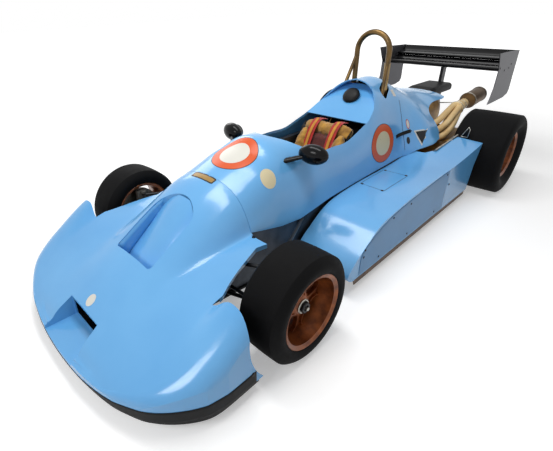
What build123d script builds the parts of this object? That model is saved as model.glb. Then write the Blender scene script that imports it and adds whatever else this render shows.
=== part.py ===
"""Open-wheel single-seater racing car with a full-width nose, side pods and a rear wing.

Millimetres. +Z is up, the nose points to -Y and +X is the car's left. The origin is on the
ground, on the centre plane, half way along the car.
"""
import math
import os

from build123d import *

# ---------------------------------------------------------------- overall sizes
overall_length = 4130
wheelbase = 2460
front_axle_y = -1220
rear_axle_y = front_axle_y + wheelbase
nose_tip_y = -overall_length / 2
tail_y = overall_length / 2

front_track = 1360
rear_track = 1340

# ---------------------------------------------------------------- wheels
front_tyre_radius = 262
front_tyre_width = 225
rear_tyre_radius = 312
rear_tyre_width = 380
front_rim_width = 215
rear_rim_width = 310
rim_lip_radius = 184
rim_seat_radius = 168
rim_wall = 7
tyre_wall = 15
spoke_count = 4
spin_clearance = 0.5
stub_radius = 20

# ---------------------------------------------------------------- bodywork
panel = 6                    # thickness of every glass-fibre panel
panel_gap = 1.5              # gap left at each joint between two panels
nose_floor_z = 75            # lower edge of the blue nose
ride_height = 45             # underside of the splitter and the skirts
nose_half_width = 750
nose_joint_y = -1125         # joint between the nose and the cockpit cowl
intake_half = 138            # half the width of the low intake's back wall
intake_back_y = -1908        # its back wall
intake_floor_z = 104         # its floor at the back wall
cover_end_y = 1290
pod_half_width = 680
pod_inner_x = 322

# ---------------------------------------------------------------- steering
kingpin_x = 560
ball_joint_height = 112      # of each ball joint above or below the front axle
arm_length = 92


def left_and_right(shape):
    """The shape and its mirror image on the other side of the car."""
    return shape, mirror(shape, about=Plane.YZ)


def cross(y):
    """A plane across the car at y, drawn in x and z."""
    return Plane.XZ.offset(-y)


def rod(start, end, radius):
    """A round rod from one point to another."""
    run = Vector(*end) - Vector(*start)
    with BuildPart() as bar:
        with BuildSketch(Plane(origin=start, z_dir=run)):
            Circle(radius)
        extrude(amount=run.length)
    return bar.part


def both_sides(half):
    """The points of a section from its right foot over the top to its left foot."""
    return [(-x, z) for x, z in half] + [(x, z) for x, z in reversed(half[:-1])]


def section_face(y, curve, parameters, base_z):
    """A cross-section whose top is a smooth curve and whose foot is cut flat at base_z."""
    with BuildSketch(cross(y)) as face:
        with BuildLine():
            top = add(Edge.make_spline([Vector(x, z) for x, z in curve], parameters=parameters))
            (right_x, right_z), (left_x, left_z) = curve[0], curve[-1]
            if left_z > base_z:
                Polyline((left_x, left_z), (left_x, base_z), (right_x, base_z), (right_x, right_z))
            else:
                Line((left_x, left_z), (right_x, right_z))
        make_face()
    return face.sketch


def skin(stations, base_z, inset=0):
    """The lofted body through the stations, each edge moved in by the inset."""
    curves = [both_sides([(max(x - inset, 0), z - inset) for x, z in half]) for _, half in stations]
    # Every section carries the same parameters, so that the surface runs evenly along the car.
    parameters = [0.0]
    for i in range(1, len(curves[0])):
        steps = [math.dist(curve[i], curve[i - 1]) for curve in curves]
        parameters.append(parameters[-1] + sum(steps))
    with BuildPart() as body:
        loft(sections=[section_face(y, curve, parameters, base_z)
                       for (y, _), curve in zip(stations, curves)])
    return body.part


# The central body, from the nose tip to the tail of the engine cover: y, height of the centre
# line, half width, drop of the crown, drop of the shoulder and how sharply that shoulder turns.
# Ahead of the cowl it is the ridge that rises out of the flat nose.
body_foot_z = 325
spine = [
    (-2080, 76, 170, 2, 6, 2),
    (-2030, 124, 260, 4, 9, 2),
    (-1990, 163, 330, 7, 16, 2),
    (-1945, 194, 350, 8, 19, 2),
    (-1900, 223, 350, 9, 21, 2),
    (-1850, 257, 335, 11, 25, 2),
    (-1793, 293, 320, 14, 31, 2.2),
    (-1725, 331, 308, 18, 35, 2.5),
    (-1656, 367, 302, 22, 40, 2.9),
    (-1590, 405, 300, 30, 49, 3.3),
    (-1512, 456, 303, 42, 65, 3.8),
    (-1400, 522, 310, 62, 85, 4.6),
    (-1270, 590, 316, 80, 112, 5.4),
    (-1185, 626, 320, 90, 128, 6),
    (-1110, 651, 320, 100, 140, 6),
    (-943, 709, 321, 100, 222, 6.5),
    (-860, 741, 321, 130, 240, 6),
    (-784, 776, 321, 170, 240, 5),
    (-700, 768, 321, 140, 250, 5),
    (-540, 740, 321, 30, 340, 6.5),
    (-250, 727, 321, 15, 340, 6.2),
    (-110, 752, 321, 15, 360, 6.4),
    (38, 800, 321, 40, 380, 6.6),
    (150, 897, 321, 165, 355, 5.6),
    (250, 940, 322, 250, 313, 4.8),
    (445, 938, 323, 300, 260, 4.2),
    (600, 880, 372, 285, 200, 3.6),
    (740, 818, 440, 235, 160, 2.8),
    (900, 785, 450, 195, 185, 2.4),
    (1100, 748, 450, 115, 225, 3.2),
    (1310, 714, 450, 60, 250, 4.5),
]


def rate(rows, i, k):
    """How fast column k changes along the car at row i, level where the column turns back."""
    if i in (0, len(rows) - 1):
        return 0
    before = (rows[i][k] - rows[i - 1][k]) / (rows[i][0] - rows[i - 1][0])
    after = (rows[i + 1][k] - rows[i][k]) / (rows[i + 1][0] - rows[i][0])
    if before * after <= 0:
        return 0
    return 2 * before * after / (before + after)


def between(rows, y):
    """The row of values at y, run smoothly between the rows of the table."""
    i = max(n for n in range(len(rows) - 1) if rows[n][0] <= y)
    gap = rows[i + 1][0] - rows[i][0]
    t = (y - rows[i][0]) / gap
    values = []
    for k in range(1, len(rows[i])):
        start, end = rows[i][k], rows[i + 1][k]
        out, into = rate(rows, i, k) * gap, rate(rows, i + 1, k) * gap
        values.append(start + out * t + (3 * (end - start) - 2 * out - into) * t ** 2
                      + (2 * (start - end) + out + into) * t ** 3)
    return values


def evenly(start, end, count):
    """Evenly spaced places along the car, which keep a loft through them free of waves."""
    return [start + (end - start) * n / count for n in range(count + 1)]


body_steps = (0, 0.18, 0.34, 0.48, 0.6, 0.7, 0.79, 0.87, 0.94, 1)


def crown_z(x, centre_z, half_width, crown, shoulder, sharpness):
    """Height of a domed section at x: a round crown that turns down at its shoulder."""
    t = x / half_width
    return centre_z - crown * t ** 2 - shoulder * t ** sharpness


def body_half(centre_z, half_width, *shape):
    """The section from its foot over the shoulder to the centre line."""
    dome = [(half_width * t, crown_z(half_width * t, centre_z, half_width, *shape))
            for t in reversed(body_steps)]
    return [(half_width, body_foot_z)] + dome


body_stations = [(y, body_half(*between(spine, y))) for y in evenly(-1310, 1310, 42)]

# The flat nose beside that ridge: at each y, its height, the rise of the fender ahead of the
# tyre, the place of its outer edge and how far that edge rolls in.
flats = [
    (-2080, 75, 0, 215, 12),
    (-2030, 120, 0, 395, 30),
    (-1990, 152, 0, 512, 50),
    (-1945, 182, 0, 604, 65),
    (-1900, 209, 0, 660, 78),
    (-1850, 237, 0, 697, 90),
    (-1793, 266, 3, 726, 100),
    (-1725, 300, 10, 742, 105),
    (-1656, 330, 24, 752, 105),
    (-1590, 353, 43, 754, 105),
    (-1512, 372, 62, 754, 105),
    (-1400, 393, 66, 754, 105),
    (-1270, 410, 66, 754, 105),
    (-1185, 415, 66, 754, 105),
    (-1110, 417, 66, 754, 105),
]
ridge_steps = (0, 0.12, 0.25, 0.38, 0.5, 0.6, 0.7, 0.78, 0.86, 0.93, 1, 1.09, 1.2)
flat_steps = (0.14, 0.3, 0.46, 0.6, 0.7, 0.8, 0.9)
roll_steps = (0, 0.2, 0.4, 0.58, 0.73, 0.85, 0.94, 1)
fender_foot_x = 520          # where the fender ahead of each front tyre rises from the flat
fender_run = 100
valley = 14                  # softness of the hollow between the ridge and the flat


def nose_z(x, dome, flat_z, fender, edge_x, roll):
    """Height of the nose at x: flat and ridge run together, with the fender and the rolled edge."""
    ridge = crown_z(min(x, 1.4 * dome[1]), *dome)
    blend = (flat_z + ridge + math.hypot(flat_z - ridge, valley)) / 2
    rise = min(max((x - fender_foot_x) / fender_run, 0), 1)
    past = min(max((x - edge_x) / roll + 1, 0), 1)
    depth = 0.36 * (flat_z + fender - nose_floor_z)
    return blend + fender * rise ** 2 * (3 - 2 * rise) - depth * (1 - math.sqrt(1 - past ** 2))


def nose_half(dome, flat):
    """The section of the nose from its rolled edge, over the flat, to the top of the ridge."""
    _, _, edge_x, roll = flat
    ridge_foot = ridge_steps[-1] * dome[1]
    roll_start = edge_x - roll
    across = [dome[1] * step for step in ridge_steps]
    across += [ridge_foot + (roll_start - ridge_foot) * step for step in flat_steps]
    across += [roll_start + roll * step for step in roll_steps]
    return [(x, nose_z(x, dome, *flat)) for x in reversed(across)]


nose_stations = [(y, nose_half(between(spine, y), between(flats, y))) for y in evenly(-2080, -1110, 20)]


fender_inner_x = 534
arch_front_y = -1519         # where the shelf beside the body begins, behind the fender's foot
ridge_half_width = 330


def nose_outline(inset=0):
    """The nose seen from above, its corners round, with the shelf that runs back inside the tyres."""
    side = nose_half_width - inset
    foot = fender_inner_x - inset
    with BuildSketch() as outline:
        with BuildLine():
            front = Spline((0, nose_tip_y + inset), (350, -2036 + inset), (side - 128, -1926 + inset),
                           (side - 26, -1790), (side, -1640), tangents=((1, 0), (0, 1)))
            tail = Polyline(front @ 1, (side, -1440), (foot, -1440), (foot, arch_front_y - inset))
            arch = Spline(tail @ 1, (492 - inset, -1420), (452 - inset, -1290), (424 - inset, -1200))
            tab = Polyline(arch @ 1, (440 - inset, -1140 - inset), (ridge_half_width, -1140 - inset),
                           (ridge_half_width, -1090), (0, -1090))
            Line(tab @ 1, front @ 0)
        make_face()
        mirror(about=Plane.YZ)
    return outline.sketch


def fender_arch():
    """The space behind the fender, round the front tyre, on the car's left."""
    with BuildPart() as space:
        with BuildSketch(Plane.YZ.offset(fender_inner_x - panel)):
            with BuildLine():
                edge = ThreePointArc((-1516, 480), (-1572, 290), (-1482, 60))
                Polyline(edge @ 1, (-1400, 60), (-1400, 480), edge @ 0)
            make_face()
        extrude(amount=nose_half_width)
    return space.part


def duct_outline(grow=0):
    """The air outlet ahead of the cockpit, seen from above."""
    half = 153 + grow
    with BuildSketch() as outline:
        with BuildLine():
            edge = Polyline((0, -1632 - grow), (half, -1632 - grow), (half, -1400))
            Spline(edge @ 1, (105 + grow, -1318 + grow), (0, -1285 + grow),
                   tangents=((0, 1), (-1, 0)))
            Line((0, -1285 + grow), (0, -1632 - grow))
        make_face()
        mirror(about=Plane.YZ)
        fillet(outline.vertices().sort_by(Axis.Y)[:2], radius=22 + grow)
    return outline.sketch


def intake_cut(grow=0):
    """The wedge of air ahead of the low intake, open above."""
    front_half = intake_half + 22 + grow
    back_half = intake_half + grow
    back_y = intake_back_y + grow
    with BuildPart() as wedge:
        with BuildSketch(Plane.XY):
            Polygon((-front_half, nose_tip_y - 30), (front_half, nose_tip_y - 30),
                    (back_half, back_y), (-back_half, back_y), align=None)
        extrude(amount=400)
        with BuildSketch(Plane.YZ):
            Polygon((nose_tip_y - 40, -10), (nose_tip_y - 40, 92 - grow), (back_y + 8, intake_floor_z - grow),
                    (back_y + 8, -10), align=None)
        extrude(amount=300, both=True, mode=Mode.SUBTRACT)
    return wedge.part


nose_solid = skin(nose_stations, nose_floor_z - 140)
nose_hollow = skin(nose_stations, nose_floor_z - 160, inset=panel)
duct_top = 700

with BuildPart() as nose_body:
    add(nose_solid)
    with BuildSketch(Plane.XY):
        add(nose_outline())
    extrude(amount=duct_top, mode=Mode.INTERSECT)
    split(bisect_by=Plane.XY.offset(nose_floor_z))

with BuildPart() as nose_room:
    add(nose_hollow)
    with BuildSketch(Plane.XY):
        add(nose_outline(inset=panel))
    extrude(amount=duct_top, mode=Mode.INTERSECT)

with BuildPart() as duct_well:
    with BuildSketch(Plane.XY.offset(270)):
        add(duct_outline(grow=panel))
    extrude(amount=duct_top - 270)
    add(nose_solid, mode=Mode.INTERSECT)
    # Its walls end along the underside of the ramp.
    with BuildSketch(Plane.YZ):
        Polygon((-1700, 100), (-1700, 236), (-1618, 236), (-1500, 338), (-1390, 426), (-1270, 530),
                (-1200, 560), (-1200, 100), align=None)
    extrude(amount=400, both=True, mode=Mode.SUBTRACT)

with BuildPart() as intake_well:
    add(intake_cut(grow=panel))
    add(nose_body.part, mode=Mode.INTERSECT)

with BuildPart() as nose_panel:
    add(nose_body.part)
    add(nose_room.part, mode=Mode.SUBTRACT)
    add(duct_well.part)
    add(intake_well.part)
    # The shelf beside the body has only a short turned-down lip.
    with BuildSketch(Plane.YZ):
        Polygon((-1535, 0), (-1535, 345), (-1450, 366), (-1380, 382), (-1080, 396), (-1080, 0),
                align=None)
    extrude(amount=fender_inner_x, both=True, mode=Mode.SUBTRACT)
    for side_arch in left_and_right(fender_arch()):
        add(side_arch, mode=Mode.SUBTRACT)
    # Openings: the outlet duct, the intake wedge and the slot behind it.
    with BuildSketch(Plane.XY.offset(200)):
        add(duct_outline())
    extrude(amount=duct_top, mode=Mode.SUBTRACT)
    add(intake_cut(), mode=Mode.SUBTRACT)
    slot_half = intake_half - 8
    with BuildSketch(cross(intake_back_y - 22)):
        Polygon((-slot_half, intake_floor_z + 4), (slot_half, intake_floor_z + 4), (slot_half, 207),
                (-slot_half, 207), align=None)
    extrude(amount=-80, mode=Mode.SUBTRACT)
    # The tail of the ridge stops at the joint with the cockpit cowl.
    with BuildSketch(cross(nose_joint_y - panel_gap / 2)):
        with Locations((0, 500)):
            Rectangle(2 * ridge_half_width + 20, 600)
    extrude(amount=-80, mode=Mode.SUBTRACT)

os.makedirs("parts", exist_ok=True)


def save(name, part):
    """Label a finished piece and write it as its own STEP file."""
    part.label = name
    export_step(part, f"parts/{name}.step")


# ---------------------------------------------------------------- cockpit cowl, engine cover
def side_cut(points):
    """A block across the whole car with the given side view, in y and z."""
    with BuildPart() as block:
        with BuildSketch(Plane.YZ):
            Polygon(*points, align=None)
        extrude(amount=overall_length / 2, both=True)
    return block.part


def cowl_joint(gap, far_y):
    """The side view of everything from the joint between cowl and engine cover to far_y."""
    line = [(498, 0), (498, 470), (493, 590), (508, 713), (529, 777), (560, 818), (610, 870), (680, 1200)]
    return side_cut([(y + gap, z) for y, z in line] + [(far_y, 1200), (far_y, 0)])


def opening_outline():
    """The cockpit opening from above, round the driver and up to the roll hoop."""
    with BuildSketch() as outline:
        with BuildLine():
            rim = Spline((0, -710), (100, -657), (200, -588), (240, -510), (246, -380), (249, -170),
                         (242, 10), (222, 145), (160, 228), (0, 268), tangents=((1, 0), (-1, 0)))
            Line(rim @ 1, rim @ 0)
        make_face()
        mirror(about=Plane.YZ)
    return outline.sketch


body_solid = skin(body_stations, body_foot_z)
body_hollow = skin(body_stations, body_foot_z, inset=panel)

# The foot of the side follows the shelf, then the tops of the side pods.
body_foot = side_cut([(-1400, 200), (1400, 200), (1400, 455), (808, 450), (700, 434), (600, 408),
                      (533, 388), (-145, 380), (-442, 372), (-640, 352), (-732, 343), (-890, 363),
                      (-1010, 392), (-1135, 424), (-1400, 424)])

headrest_foot = (38, 714)
headrest_head = (350, 896)
with BuildPart() as headrest_slab:
    with BuildSketch(Plane.YZ):
        face_line = Vector(headrest_head[0] - headrest_foot[0],
                           headrest_head[1] - headrest_foot[1]).normalized()
        Polygon(headrest_foot, headrest_head,
                (headrest_head[0] + face_line.Y * panel, headrest_head[1] - face_line.X * panel),
                (headrest_foot[0] + face_line.Y * panel, headrest_foot[1] - face_line.X * panel),
                align=None)
    extrude(amount=300, both=True)

with BuildPart() as cockpit_room:
    add(body_hollow)
    add(headrest_slab.part, mode=Mode.SUBTRACT)

# The opening stops at the headrest's face, and everything under that face stays.
with BuildPart() as opening:
    with BuildSketch(Plane.XY.offset(560)):
        add(opening_outline())
    extrude(amount=600)
    add(side_cut([(headrest_foot[0], 0), headrest_foot, headrest_head, (headrest_head[0], 0)]),
        mode=Mode.SUBTRACT)

with BuildPart() as cockpit_cowl:
    add(body_solid)
    add(cockpit_room.part, mode=Mode.SUBTRACT)
    add(body_foot, mode=Mode.SUBTRACT)
    add(side_cut([(-1400, 0), (nose_joint_y + panel_gap / 2, 0),
                  (nose_joint_y + panel_gap / 2, 1100), (-1400, 1100)]), mode=Mode.SUBTRACT)
    add(cowl_joint(-panel_gap / 2, 1500), mode=Mode.SUBTRACT)
    add(opening.part, mode=Mode.SUBTRACT)
    # The holes for the roll hoop's legs and its forward stays.
    with BuildSketch(Plane.XY.offset(560)):
        for side in (-1, 1):
            with Locations(Location((side * 143, 406), side * -69)):
                SlotOverall(150, 56)
    extrude(amount=600, mode=Mode.SUBTRACT)
save("cockpit_cowl", cockpit_cowl.part)

with BuildPart() as engine_cover:
    add(body_solid)
    add(body_hollow, mode=Mode.SUBTRACT)
    add(body_foot, mode=Mode.SUBTRACT)
    add(cowl_joint(panel_gap / 2, -1500), mode=Mode.SUBTRACT)
    # The tail is cut square across the top and scalloped forward round the exhaust.
    with BuildSketch(Plane.YZ):
        with BuildLine():
            edge = Spline((1330, 689), (1133, 677), (960, 662), (888, 620), (904, 555), (898, 500),
                          (860, 455), (800, 425), (700, 400))
            Polyline(edge @ 1, (1330, 330), edge @ 0)
        make_face()
    extrude(amount=600, both=True, mode=Mode.SUBTRACT)
    add(side_cut([(cover_end_y, 0), (1500, 0), (1500, 900), (cover_end_y, 900)]), mode=Mode.SUBTRACT)
save("engine_cover", engine_cover.part)

# ---------------------------------------------------------------- nose
save("nose_panel", nose_panel.part)

with BuildPart() as duct_ramp:
    ramp_stations = [(-1618, 250, 300), (-1500, 352, 402), (-1390, 440, 500), (-1292, 538, 576)]
    for y, edge_z, crown_z in ramp_stations:
        with BuildSketch(cross(y)):
            with BuildLine():
                over = Spline((-150, edge_z), (-75, crown_z - 12), (0, crown_z), (75, crown_z - 12),
                              (150, edge_z))
                under = Spline((-150, edge_z - panel), (-75, crown_z - 12 - panel), (0, crown_z - panel),
                               (75, crown_z - 12 - panel), (150, edge_z - panel))
                Line(over @ 0, under @ 0)
                Line(over @ 1, under @ 1)
            make_face()
    loft()
    with BuildSketch(Plane.XY.offset(200)):
        add(duct_outline(grow=-1))
    extrude(amount=500, mode=Mode.INTERSECT)
save("duct_ramp", duct_ramp.part)

splitter_inset = 12
with BuildPart() as nose_splitter:
    with BuildSketch(Plane.XY.offset(ride_height)):
        add(nose_outline(inset=splitter_inset))
    extrude(amount=nose_floor_z - ride_height - 1)
    with BuildSketch(Plane.XY.offset(ride_height + 8)):
        add(nose_outline(inset=splitter_inset + 8))
    extrude(amount=nose_floor_z, mode=Mode.SUBTRACT)
    with BuildSketch(Plane.XY):
        with Locations((0, -1300)):
            Rectangle(2 * nose_half_width, 420)
    extrude(amount=200, mode=Mode.SUBTRACT)
save("nose_splitter", nose_splitter.part)

with BuildPart() as nose_radiator:
    with Locations((0, -1760, 165)):
        Box(420, 55, 150, rotation=(-25, 0, 0))
save("nose_radiator", nose_radiator.part)

# ---------------------------------------------------------------- monocoque and floor
tub_half_width = 305
tub_wall = 36
tub_front_y = -1500
tub_rear_y = 540
tub_floor_z = 72
tub_top_z = 589
tub_shelf_z = 390            # where its full-width lower part ends
tub_front_bulkhead_y = -1180
dash_bulkhead_y = -760
cockpit_wall_half = 244      # half the width of its upper part
with BuildPart() as monocoque_tub:
    for y, half, low, high in [(tub_front_y, 190, 110, 300), (tub_front_bulkhead_y, 268, tub_floor_z, 380)]:
        with BuildSketch(cross(y)):
            with Locations((0, (low + high) / 2)):
                Rectangle(2 * half, high - low)
    loft()
    with BuildSketch(cross(tub_front_bulkhead_y)):
        with Locations((0, (tub_floor_z + 380) / 2)):
            Rectangle(2 * 268, 380 - tub_floor_z)
    with BuildSketch(cross(dash_bulkhead_y)):
        with Locations((0, (tub_floor_z + 372) / 2)):
            Rectangle(2 * tub_half_width, 372 - tub_floor_z)
    loft()
    with BuildSketch(Plane.XY.offset(tub_floor_z)):
        with Locations((0, (tub_rear_y + dash_bulkhead_y) / 2)):
            Rectangle(2 * tub_half_width, tub_rear_y - dash_bulkhead_y)
    extrude(amount=tub_shelf_z - tub_floor_z)
    # The upper sides and the seat back stand up inside the cowl.
    with BuildSketch(Plane.XY.offset(tub_shelf_z - 1)):
        with Locations((0, (tub_rear_y + dash_bulkhead_y) / 2)):
            Rectangle(2 * cockpit_wall_half, tub_rear_y - dash_bulkhead_y)
    extrude(amount=tub_top_z - tub_shelf_z + 1)
    # The cockpit is open from the pedals to the seat back.
    with BuildSketch(Plane.XY.offset(tub_floor_z + 18)):
        with Locations((0, (-1100 + 20) / 2)):
            Rectangle(2 * (cockpit_wall_half - tub_wall), 1120)
    extrude(amount=700, mode=Mode.SUBTRACT)
    with BuildSketch(cross(-1080)):
        with Locations((0, 215)):
            Rectangle(2 * 150, 170)
    extrude(amount=360, mode=Mode.SUBTRACT)
save("monocoque_tub", monocoque_tub.part)

floor_thickness = 12
with BuildPart() as undertray:
    with BuildSketch(Plane.XY.offset(tub_floor_z - floor_thickness)):
        Polygon((-250, -1480), (250, -1480), (296, -1000), (305, -735), (660, -700), (672, 880),
                (470, 890), (330, 960), (200, 1020), (-200, 1020), (-330, 960), (-470, 890),
                (-672, 880), (-660, -700), (-305, -735), (-296, -1000), align=None)
    extrude(amount=floor_thickness)
save("undertray", undertray.part)

# ---------------------------------------------------------------- side pods
pod_floor_z = 82
pod_tail_y = 960
# y, height of the top at its outer edge and at its inner edge, from the front lip to the tail
pod_tops = [(-768, 126, 130), (-740, 168, 172), (-692, 208, 214), (-613, 257, 268), (-504, 320, 330),
            (-323, 356, 364), (-107, 378, 373), (438, 394, 378), (600, 406, 398), (740, 424, 432),
            (pod_tail_y, 460, 478)]


def pod_profile(x, outer, inset):
    """The side view of the pod at x, its round front lip and its top moved in by the inset."""
    points = [(-690, pod_floor_z + inset), (-742, 94 + inset)]
    for y, outer_z, inner_z in pod_tops:
        points.append((y + (inset if y < -700 else 0), (outer_z if outer else inner_z) - inset))
    with BuildSketch(Plane.YZ.offset(x)) as profile:
        with BuildLine():
            top = Spline(*points)
            Polyline(top @ 1, (pod_tail_y, pod_floor_z - 3 * inset), (-690, pod_floor_z - 3 * inset), top @ 0) \
                if inset else Polyline(top @ 1, (pod_tail_y, pod_floor_z), top @ 0)
        make_face()
    return profile.sketch


def pod_body(inset=0):
    """The side pod on the car's left: a ruled top and a side that leans out towards its tail."""
    with BuildPart() as body:
        loft(sections=[pod_profile(pod_inner_x - 4 * inset, False, inset),
                       pod_profile(pod_half_width + 40, True, inset)], ruled=True)
        side = pod_half_width - inset
        with BuildPart(mode=Mode.PRIVATE) as keep:
            for y, top_x in [(-900, side), (300, side + 3), (pod_tail_y + 20, side + 40)]:
                with BuildSketch(cross(y)):
                    Polygon((0, 0), (side, 0), (top_x, 600), (0, 600), align=None)
            loft(ruled=True)
        add(keep.part, mode=Mode.INTERSECT)
    return body.part


with BuildPart() as side_pod:
    add(pod_body())
    add(pod_body(inset=panel), mode=Mode.SUBTRACT)
    # The inner edge of the top is cut away beside the engine, and the tail leans with the tyre.
    with BuildSketch(Plane.XY.offset(300)):
        Polygon((300, 600), (430, 612), (487, 690), (530, 950), (530, 1000), (300, 1000), align=None)
    extrude(amount=300, mode=Mode.SUBTRACT)
    add(side_cut([(898, 0), (898, 290), (943, 470), (943, 600), (1100, 600), (1100, 0)]),
        mode=Mode.SUBTRACT)
side_pod_left, side_pod_right = left_and_right(side_pod.part)
save("side_pod_left", side_pod_left)
save("side_pod_right", side_pod_right)

with BuildPart() as pod_skirts:
    for side in (-1, 1):
        with BuildSketch(Plane.YZ.offset(side * 676.5)):
            Polygon((-690, ride_height), (880, ride_height), (885, 78), (-700, 78), align=None)
        extrude(amount=2.5, both=True)
save("pod_skirts", pod_skirts.part)

# ---------------------------------------------------------------- engine, gearbox, exhaust
with BuildPart() as engine_block:
    with Locations((0, 785, 330)):
        Box(2 * 170, 480, 470)
    fillet(engine_block.edges().filter_by(Axis.Y), radius=30)
save("engine_block", engine_block.part)

gearbox_half_width = 105
with BuildPart() as gearbox:
    for y, half, low, high in [(1026, 165, 120, 470), (1150, gearbox_half_width, 170, 430)]:
        with BuildSketch(cross(y)):
            with Locations((0, (low + high) / 2)):
                RectangleRounded(2 * half, high - low, 30)
    loft()
    with BuildSketch(cross(1150)):
        with Locations((0, 300)):
            RectangleRounded(2 * gearbox_half_width, 260, 30)
    extrude(amount=-490)
    with Locations(Location((0, rear_axle_y, rear_tyre_radius), (0, 90, 0))):
        Cylinder(62, 2 * gearbox_half_width + 60)
save("gearbox", gearbox.part)

with BuildPart() as airbox:
    with BuildSketch(cross(1300)):
        with Locations((0, 675)):
            RectangleRounded(220, 56, 24)
    with BuildSketch(cross(1420)):
        with Locations((0, 678)):
            RectangleRounded(240, 72, 30)
    with BuildSketch(cross(1778)):
        with Locations((0, 672)):
            RectangleRounded(240, 72, 30)
    loft(ruled=True)
save("airbox", airbox.part)

pipe_radius = 21
engine_side_x = 170
cluster_x = 351
cluster_y = 1430             # where the four pipes join
cluster_z = 607
silencer_radius = 65
silencer_length = 360
silencer_tilt = 2.7          # degrees, its end higher



def primary_pipe(port_y, bend_z, spread, end):
    """One exhaust pipe from its port on the engine's left side to its own place in the cluster."""
    end_x = cluster_x + end[0] * (pipe_radius + 1)
    end_z = cluster_z + end[1] * (pipe_radius + 1)
    with BuildPart() as pipe:
        with BuildLine():
            path = FilletPolyline((engine_side_x, port_y, 470), (290 + spread, port_y, 462),
                                  (355 + spread, 1000, bend_z), (end_x, cluster_y - 30, end_z - 8),
                                  (end_x, cluster_y + 10, end_z), radius=52)
        with BuildSketch(Plane(origin=path @ 0, z_dir=(1, 0, 0))):
            Circle(pipe_radius)
        sweep(path=path)
    return pipe.part


with BuildPart() as exhaust_primaries:
    for port_y, bend_z, spread, end in [(610, 395, 22, (1, -1)), (715, 436, 14, (-1, -1)),
                                        (820, 478, 0, (1, 1)), (925, 516, -18, (-1, 1))]:
        add(primary_pipe(port_y, bend_z, spread, end))
    # The pipes end in one short collector.
    with BuildSketch(cross(cluster_y)):
        with Locations((cluster_x, cluster_z)):
            Circle(2.5 * pipe_radius + 2)
    extrude(amount=-36, taper=12)
    add(engine_block.part, mode=Mode.SUBTRACT)
save("exhaust_primaries", exhaust_primaries.part)

with BuildPart() as silencer:
    with BuildSketch(Plane.YZ):
        Polygon((0, 0), (0, 34), (30, 36), (75, silencer_radius), (silencer_length, silencer_radius),
                (silencer_length, silencer_radius - 5), (silencer_length - 60, silencer_radius - 5),
                (silencer_length - 60, 0), align=None)
    revolve(axis=Axis.Y)
can_place = Location((cluster_x, cluster_y + 42, cluster_z + 1), (silencer_tilt, 0, 0))
save("silencer", can_place * silencer.part)


# ---------------------------------------------------------------- wheels
def rim(width, face_x):
    """A wheel rim about the X axis, its outer side to +X, with webbed spokes at face_x."""
    half = width / 2
    lip = 9
    with BuildPart() as wheel:
        with BuildSketch(Plane.XY):
            with BuildLine():
                Polyline((-half, rim_lip_radius), (-half + lip, rim_lip_radius),
                         (-half + lip, rim_seat_radius), (-half + 62, rim_seat_radius),
                         (-half + 74, rim_seat_radius - 14), (half - 74, rim_seat_radius - 14),
                         (half - 62, rim_seat_radius), (half - lip, rim_seat_radius),
                         (half - lip, rim_lip_radius), (half, rim_lip_radius),
                         (half, rim_seat_radius - rim_wall), (half - 59, rim_seat_radius - rim_wall),
                         (half - 71, rim_seat_radius - 14 - rim_wall),
                         (-half + 71, rim_seat_radius - 14 - rim_wall),
                         (-half + 59, rim_seat_radius - rim_wall), (-half, rim_seat_radius - rim_wall),
                         close=True)
            make_face()
        revolve(axis=Axis.X)
        with BuildSketch(Plane.YZ.offset(face_x)):
            Circle(rim_seat_radius - 15)
            with PolarLocations(98, spoke_count, start_angle=45):
                Ellipse(34, 46, mode=Mode.SUBTRACT)
        extrude(amount=-16)
        with BuildSketch(Plane.YZ.offset(face_x + 10)):
            Circle(46)
        extrude(amount=-90)
        with BuildSketch(Plane.YZ.offset(face_x + 38)):
            RegularPolygon(27, 6)
        extrude(amount=-40)
        with BuildSketch(Plane.YZ.offset(face_x - 80)):
            Circle(stub_radius + spin_clearance / 10)
        extrude(amount=60, mode=Mode.SUBTRACT)
    return wheel.part


def tyre(radius, width, rim_width, wheel_rim):
    """A slick tyre about the X axis, hollow, seated between the lips of its rim."""
    bead = rim_width / 2 - 10
    half = width / 2
    with BuildPart() as ring:
        with BuildSketch(Plane.XY):
            with BuildLine():
                wall = Spline((bead, rim_seat_radius), (rim_width / 2 + 3, rim_lip_radius + 6),
                              (half, (rim_lip_radius + radius) / 2), (half - 6, radius - 26),
                              (half - 26, radius - 3))
                crown = ThreePointArc(wall @ 1, (0, radius), (-half + 26, radius - 3))
                Spline(crown @ 1, (-half + 6, radius - 26), (-half, (rim_lip_radius + radius) / 2),
                       (-rim_width / 2 - 3, rim_lip_radius + 6), (-bead, rim_seat_radius))
                Line((-bead, rim_seat_radius), (bead, rim_seat_radius))
            make_face()
        revolve(axis=Axis.X)
        with BuildSketch(Plane.XY):
            foot = rim_width / 2 - 10 - tyre_wall
            room = half - tyre_wall - 8
            Polygon((-foot, rim_seat_radius + 8), (foot, rim_seat_radius + 8), (room, radius - 45),
                    (room - 12, radius - tyre_wall), (-room + 12, radius - tyre_wall),
                    (-room, radius - 45), align=None)
        revolve(axis=Axis.X, mode=Mode.SUBTRACT)
        add(wheel_rim, mode=Mode.SUBTRACT)
    return ring.part


def at_axle(part, x, y, z):
    """The piece moved to a wheel centre, turned round when that wheel is on the car's right."""
    turn = 180 if x < 0 else 0
    return Location((x, y, z), (0, 0, turn)) * part


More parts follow.
